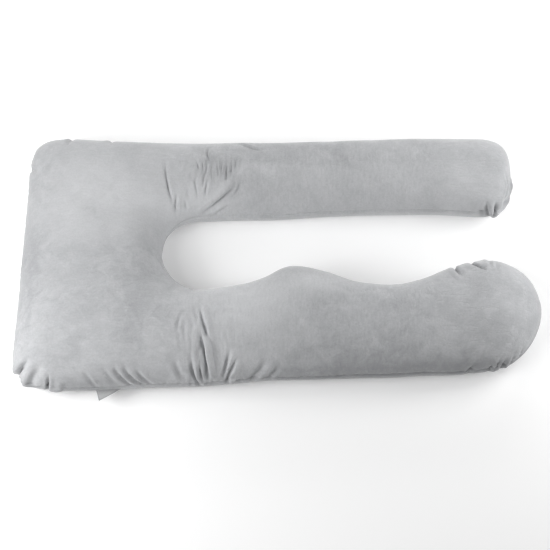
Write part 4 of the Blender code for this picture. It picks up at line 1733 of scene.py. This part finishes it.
@dataclass(frozen=True)
class WovenTape:
    """The label's thin grey tape, in a fine diagonal weave with dense, darker edges.

    Attributes:
        warp: The darker yarn.
        weft: The lighter yarn.
        pitch: Yarns to the metre.
        angle: The weave's turn from X, in degrees.
        unevenness: How far its lines stray.
        twill_tone: Its share of the tone, on the scale from warp to weft.
        ground: The tone that is there without it.
        slubs: Thicker places in the yarns.
        edge_width: Width of the dense edges.
        edge_drop: How much darker they look, on the scale from warp to weft.
        seam_width: How far the tape lies in the shade of the seam.
        seam_drop: How much darker it looks there, on the same scale.
        bump_strength: Strength of the weave's relief.
        bump_distance: Height of that relief.
        roughness: The yarn's roughness.
        WAVES: Yarns to the metre in a wave texture at a scale of 1.
    """

    warp: Colour = (0.240, 0.244, 0.248)
    weft: Colour = (0.500, 0.505, 0.510)
    pitch: float = 900.0
    angle: float = 38.0
    unevenness: float = 0.6
    twill_tone: float = 0.42
    ground: float = 0.28
    slubs: Mottle = Mottle(240.0, tone=0.30)
    edge_width: float = 0.0045
    edge_drop: float = 0.34
    seam_width: float = 0.0160
    seam_drop: float = 0.70
    bump_strength: float = 0.4
    bump_distance: float = 0.0003
    roughness: float = 0.7

    WAVES: ClassVar[float] = 6.3

    @staticmethod
    def _beside(nodes: Nodes, line: tuple[Point, Point], inside: Point, width: float) -> Socket:
        """How near a place is to one edge of the tape, in plan.

        Args:
            nodes: The material's nodes.
            line: Two ends of the edge.
            inside: A point of the tape away from the edge.
            width: How far the effect reaches.

        Returns:
            1 on the edge, 0 at the width inside it.
        """
        start, end, within = (np.array((x, y, 0.0)) for x, y, _ in (*line, inside))
        across = unit(np.array((start[1] - end[1], end[0] - start[0], 0.0)))
        if np.dot(within - start, across) < 0.0:
            across = -across
        inputs = {0: nodes.object_place(), 1: tuple(float(c) for c in across)}
        away = nodes.add("ShaderNodeVectorMath", {"operation": "DOT_PRODUCT"}, inputs, "Value")
        return 1.0 - nodes.stretch(away - float(np.dot(start, across)), 0.0, width)

    def material(self, root: tuple[Point, Point], corner: Point) -> bpy.types.Material:
        """Builds the material.

        Args:
            root: The two ends of the tape's sewn edge.
            corner: Its free corner.

        Returns:
            The material.
        """
        made, nodes = named_material("woven grey tape")
        where = nodes.place(turn=math.radians(self.angle))
        settings = {"wave_type": "BANDS", "bands_direction": "X", "wave_profile": "SIN"}
        inputs = {
            "Vector": where,
            "Scale": self.pitch / self.WAVES,
            "Distortion": self.unevenness,
            "Detail": 1.0,
        }
        twill = nodes.add("ShaderNodeTexWave", settings, inputs, "Fac")
        slubs = self.slubs.on(nodes, where)
        tone = self.ground + self.twill_tone * twill + self.slubs.tone * slubs
        inside = tuple(np.mean((*root, corner), axis=0))
        for end in root:
            edge = self._beside(nodes, (end, corner), inside, self.edge_width)
            tone = tone - edge * self.edge_drop
        tone = tone - self._beside(nodes, root, inside, self.seam_width) * self.seam_drop
        share = tone.kept()
        nodes.surface(
            {
                "Base Color": nodes.blend(share, self.warp, self.weft),
                "Roughness": self.roughness,
                "Metallic": 0.0,
                "Normal": nodes.bump(share, self.bump_strength, self.bump_distance),
            }
        )
        return made


# ------------------------------------------------------------------------------ the sub-assemblies


def add_piece(
    name: str, points: np.ndarray, faces: Sequence[Sequence[int]], material: bpy.types.Material
) -> bpy.types.Object:
    """Links a smooth mesh to the scene as a named piece.

    Args:
        name: The piece's name.
        points: Its vertices.
        faces: Its faces.
        material: What it is made of.

    Returns:
        The piece.
    """
    data = bpy.data.meshes.new(name)
    data.from_pydata(points.tolist(), [], list(faces))
    data.shade_smooth()
    data.materials.append(material)
    piece = bpy.data.objects.new(name, data)
    bpy.context.scene.collection.objects.link(piece)
    return piece


@dataclass
class Pillow:
    """The stuffed plush cover: both panels and the seam that joins them.

    Attributes:
        form: The stuffed form.
        folding: What is pressed into it.
        fineness: Rows of the mesh for each row of the sections' table.
        upper_columns: Columns across the upper panel.
        under_columns: Columns across the under panel.
        plush: Its finish.
    """

    form: PillowForm = field(default_factory=PillowForm)
    folding: Folding = field(default_factory=Folding)
    fineness: int = 6
    upper_columns: int = 57
    under_columns: int = 19
    plush: VelvetPlush = field(default_factory=VelvetPlush)

    def build(self) -> bpy.types.Object:
        """Builds the cover and stands it in for the frame's solid.

        Returns:
            The piece.
        """
        mesh = self.form.mesh(self.fineness, self.upper_columns, self.under_columns)
        self.folding.press(mesh)
        cover = add_piece("plush_cover", mesh.points, mesh.faces, self.plush.material())
        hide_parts("pillow")
        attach(cover, "root")
        return cover


@dataclass
class CareLabel:
    """The corner of tape that sticks out of the head's near seam.

    Attributes:
        root_left: Left end of its sewn edge.
        root_right: Right end of its sewn edge.
        corner: Its free corner.
        corner_width: Width of that corner, which isn't quite sharp.
        thickness: The tape's thickness.
        sag: How far the tape sags below a straight line.
        curl: How far its free edges bend up.
        rows: Rows of the mesh, from the sewn edge to the corner.
        tape: Its finish.
        CURL_POWER: How close to its edges the curl stays.
    """

    root_left: Point = (-0.467, -0.3648, 0.0610)
    root_right: Point = (-0.400, -0.3599, 0.0610)
    corner: Point = (-0.459, -0.3915, 0.0520)
    corner_width: float = 0.0015
    thickness: float = 0.0007
    sag: float = 0.0020
    curl: float = 0.0006
    rows: int = 26
    tape: WovenTape = field(default_factory=WovenTape)

    CURL_POWER: ClassVar[int] = 3

    def _sheet(self) -> np.ndarray:
        """The middle of the tape.

        Returns:
            Its points, row by row from the sewn edge to the corner.
        """
        left, right, corner = (np.array(p) for p in (self.root_left, self.root_right, self.corner))
        side = unit(right - left) * self.corner_width
        across = np.linspace(0.0, 1.0, self.rows + 1)[:, None]
        rows = []
        for t in across[:, 0]:
            start, end = left + (corner - left) * t, right + (corner + side - right) * t
            row = start + (end - start) * across
            row[:, 2] -= self.sag * math.sin(math.pi * t)
            row[:, 2] += self.curl * t * np.abs(2 * across[:, 0] - 1) ** self.CURL_POWER
            rows.append(row)
        return np.array(rows)

    def build(self) -> bpy.types.Object:
        """Builds the label and stands it in for the frame's solid.

        Returns:
            The piece.
        """
        middle = self._sheet()
        count = self.rows + 1
        grid = np.arange(count * count).reshape(count, count)
        quads = np.stack((grid[:-1, :-1], grid[1:, :-1], grid[1:, 1:], grid[:-1, 1:]), axis=-1)
        material = self.tape.material((self.root_left, self.root_right), self.corner)
        faces = quads.reshape(-1, 4).tolist()
        label = add_piece("care_label", middle.reshape(-1, 3), faces, material)
        solid = label.modifiers.new("tape", "SOLIDIFY")
        solid.thickness, solid.offset = self.thickness, 0.0
        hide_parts("label")
        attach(label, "root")
        return label


# ------------------------------------------------------------------------------ the studio


@dataclass(frozen=True)
class SoftBox:
    """A square soft light that faces the middle of the floor.

    Attributes:
        name: What it is for.
        place: Where it is hung.
        size: Length of its side.
        power: Its power in watts.
    """

    name: str
    place: Point
    size: float
    power: float

    def build(self) -> None:
        """Hangs the light, out of the camera's sight."""
        data = bpy.data.lights.new(self.name, "AREA")
        data.shape, data.size, data.energy = "SQUARE", self.size, self.power
        lamp = bpy.data.objects.new(self.name, data)
        lamp.location = self.place
        lamp.rotation_euler = Vector(self.place).to_track_quat("Z", "Y").to_euler()
        lamp.visible_camera = False
        bpy.context.scene.collection.objects.link(lamp)


@dataclass
class Studio:
    """A pale floor and low walls, soft lights and the camera.

    Attributes:
        target: The point of the pillow in the middle of the view.
        elevation: The camera's height above the horizon, in degrees.
        distance: From the target to the camera.
        width_at_target: Width of the view at the target: 1.40 m is 533 of its 550 parts.
        sensor: Width of the camera's sensor, in millimetres.
        far_clip: How far the camera sees.
        room: From the middle of the floor to its sides.
        floor_gap: How far the floor is below the surface that the pillow lies on.
        wall_height: Height of the walls round the floor.
        floor_shade: Paleness of the floor's paint, from 0 to 1.
        wall_shade: The same for the walls.
        floor_glow: How much the floor shines by itself, so that it stays white.
        wall_glow: The same for the walls.
        roughness: Roughness of the paint.
        boxes: The soft lights.
    """

    target: Point = (-0.009, -0.040, 0.085)
    elevation: float = 60.0
    distance: float = 5.4
    width_at_target: float = 1.40 * 550 / 533
    sensor: float = 36.0
    far_clip: float = 50.0
    room: float = 8.0
    floor_gap: float = 0.0005
    wall_height: float = 1.9
    floor_shade: float = 0.85
    wall_shade: float = 0.60
    floor_glow: float = 0.22
    wall_glow: float = 0.15
    roughness: float = 0.9
    boxes: tuple[SoftBox, ...] = (
        SoftBox("left lamp", (-1.2, -0.5, 0.8), 0.6, 9.4),
        SoftBox("left rear lamp", (-1.2, 0.7, 0.8), 0.6, 3.0),
        SoftBox("right lamp", (1.2, 0.1, 0.8), 0.6, 6.3),
        SoftBox("back box, left", (-0.7, 1.5, 0.7), 1.0, 9.8),
        SoftBox("back box, right", (0.7, 1.5, 0.7), 1.0, 8.8),
        SoftBox("right box", (3.75, 0.0, 1.35), 2.0, 62.0),
        SoftBox("front box", (-1.9, -1.9, 3.0), 2.0, 69.0),
    )

    def camera(self) -> None:
        """Puts the camera up on the near arm's side and points it at the target."""
        data = bpy.data.cameras.new("camera")
        data.sensor_width = self.sensor
        data.lens = self.sensor * self.distance / self.width_at_target
        data.clip_end = self.far_clip
        camera = bpy.data.objects.new("camera", data)
        rise = math.radians(self.elevation)
        back = Vector((0.0, -math.cos(rise), math.sin(rise)))
        camera.location = Vector(self.target) + back * self.distance
        camera.rotation_euler = back.to_track_quat("Z", "Y").to_euler()
        bpy.context.scene.collection.objects.link(camera)
        bpy.context.scene.camera = camera

    def _paint(self, name: str, shade: float, glow: float) -> bpy.types.Material:
        """Plain pale paint, which shines a little by itself.

        Args:
            name: The material's name.
            shade: How pale it is, from 0 to 1.
            glow: How much it shines.

        Returns:
            The material.
        """
        made, nodes = named_material(name)
        pale = (shade, shade, shade, 1.0)
        nodes.surface(
            {
                "Base Color": pale,
                "Roughness": self.roughness,
                "Emission Color": pale,
                "Emission Strength": glow,
            }
        )
        return made

    def floor_and_walls(self) -> None:
        """Lays the floor and puts up the walls round it."""
        side, low, high = self.room, -self.floor_gap, self.wall_height
        plan = ((-side, -side), (side, -side), (side, side), (-side, side))
        corners = np.array([(x, y, z) for z in (low, high) for x, y in plan])
        walls = [(i, (i + 1) % 4, (i + 1) % 4 + 4, i + 4) for i in range(4)]
        floor_paint = self._paint("pale floor", self.floor_shade, self.floor_glow)
        wall_paint = self._paint("pale walls", self.wall_shade, self.wall_glow)
        add_piece("studio_floor", corners[:4], [(0, 1, 2, 3)], floor_paint)
        add_piece("studio_walls", corners, walls, wall_paint)

    def light(self) -> None:
        """Turns off the light of the surroundings and puts up the soft lights."""
        world = bpy.data.worlds.new("studio")
        bpy.context.scene.world = world
        world.use_nodes = True
        nodes = Nodes(world.node_tree)
        dark = nodes.add("ShaderNodeBackground", {}, {"Strength": 0.0})
        nodes.add("ShaderNodeOutputWorld", {}, {"Surface": dark})
        for box in self.boxes:
            box.build()

    def build(self) -> None:
        """Sets up the whole studio."""
        bpy.context.scene.view_settings.view_transform = "Standard"
        self.camera()
        self.floor_and_walls()
        self.light()


def main() -> None:
    """Builds the pillow, its label and the studio, in that order."""
    logging.basicConfig(level=logging.INFO, format="%(name)s: %(message)s")
    LOG.info("solids in the frame: %d", len(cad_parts))
    for part in (Pillow(), CareLabel()):
        piece = part.build()
        LOG.info("%s: %d faces", piece.name, len(piece.data.polygons))
    Studio().build()


if __name__ == "__main__":
    main()
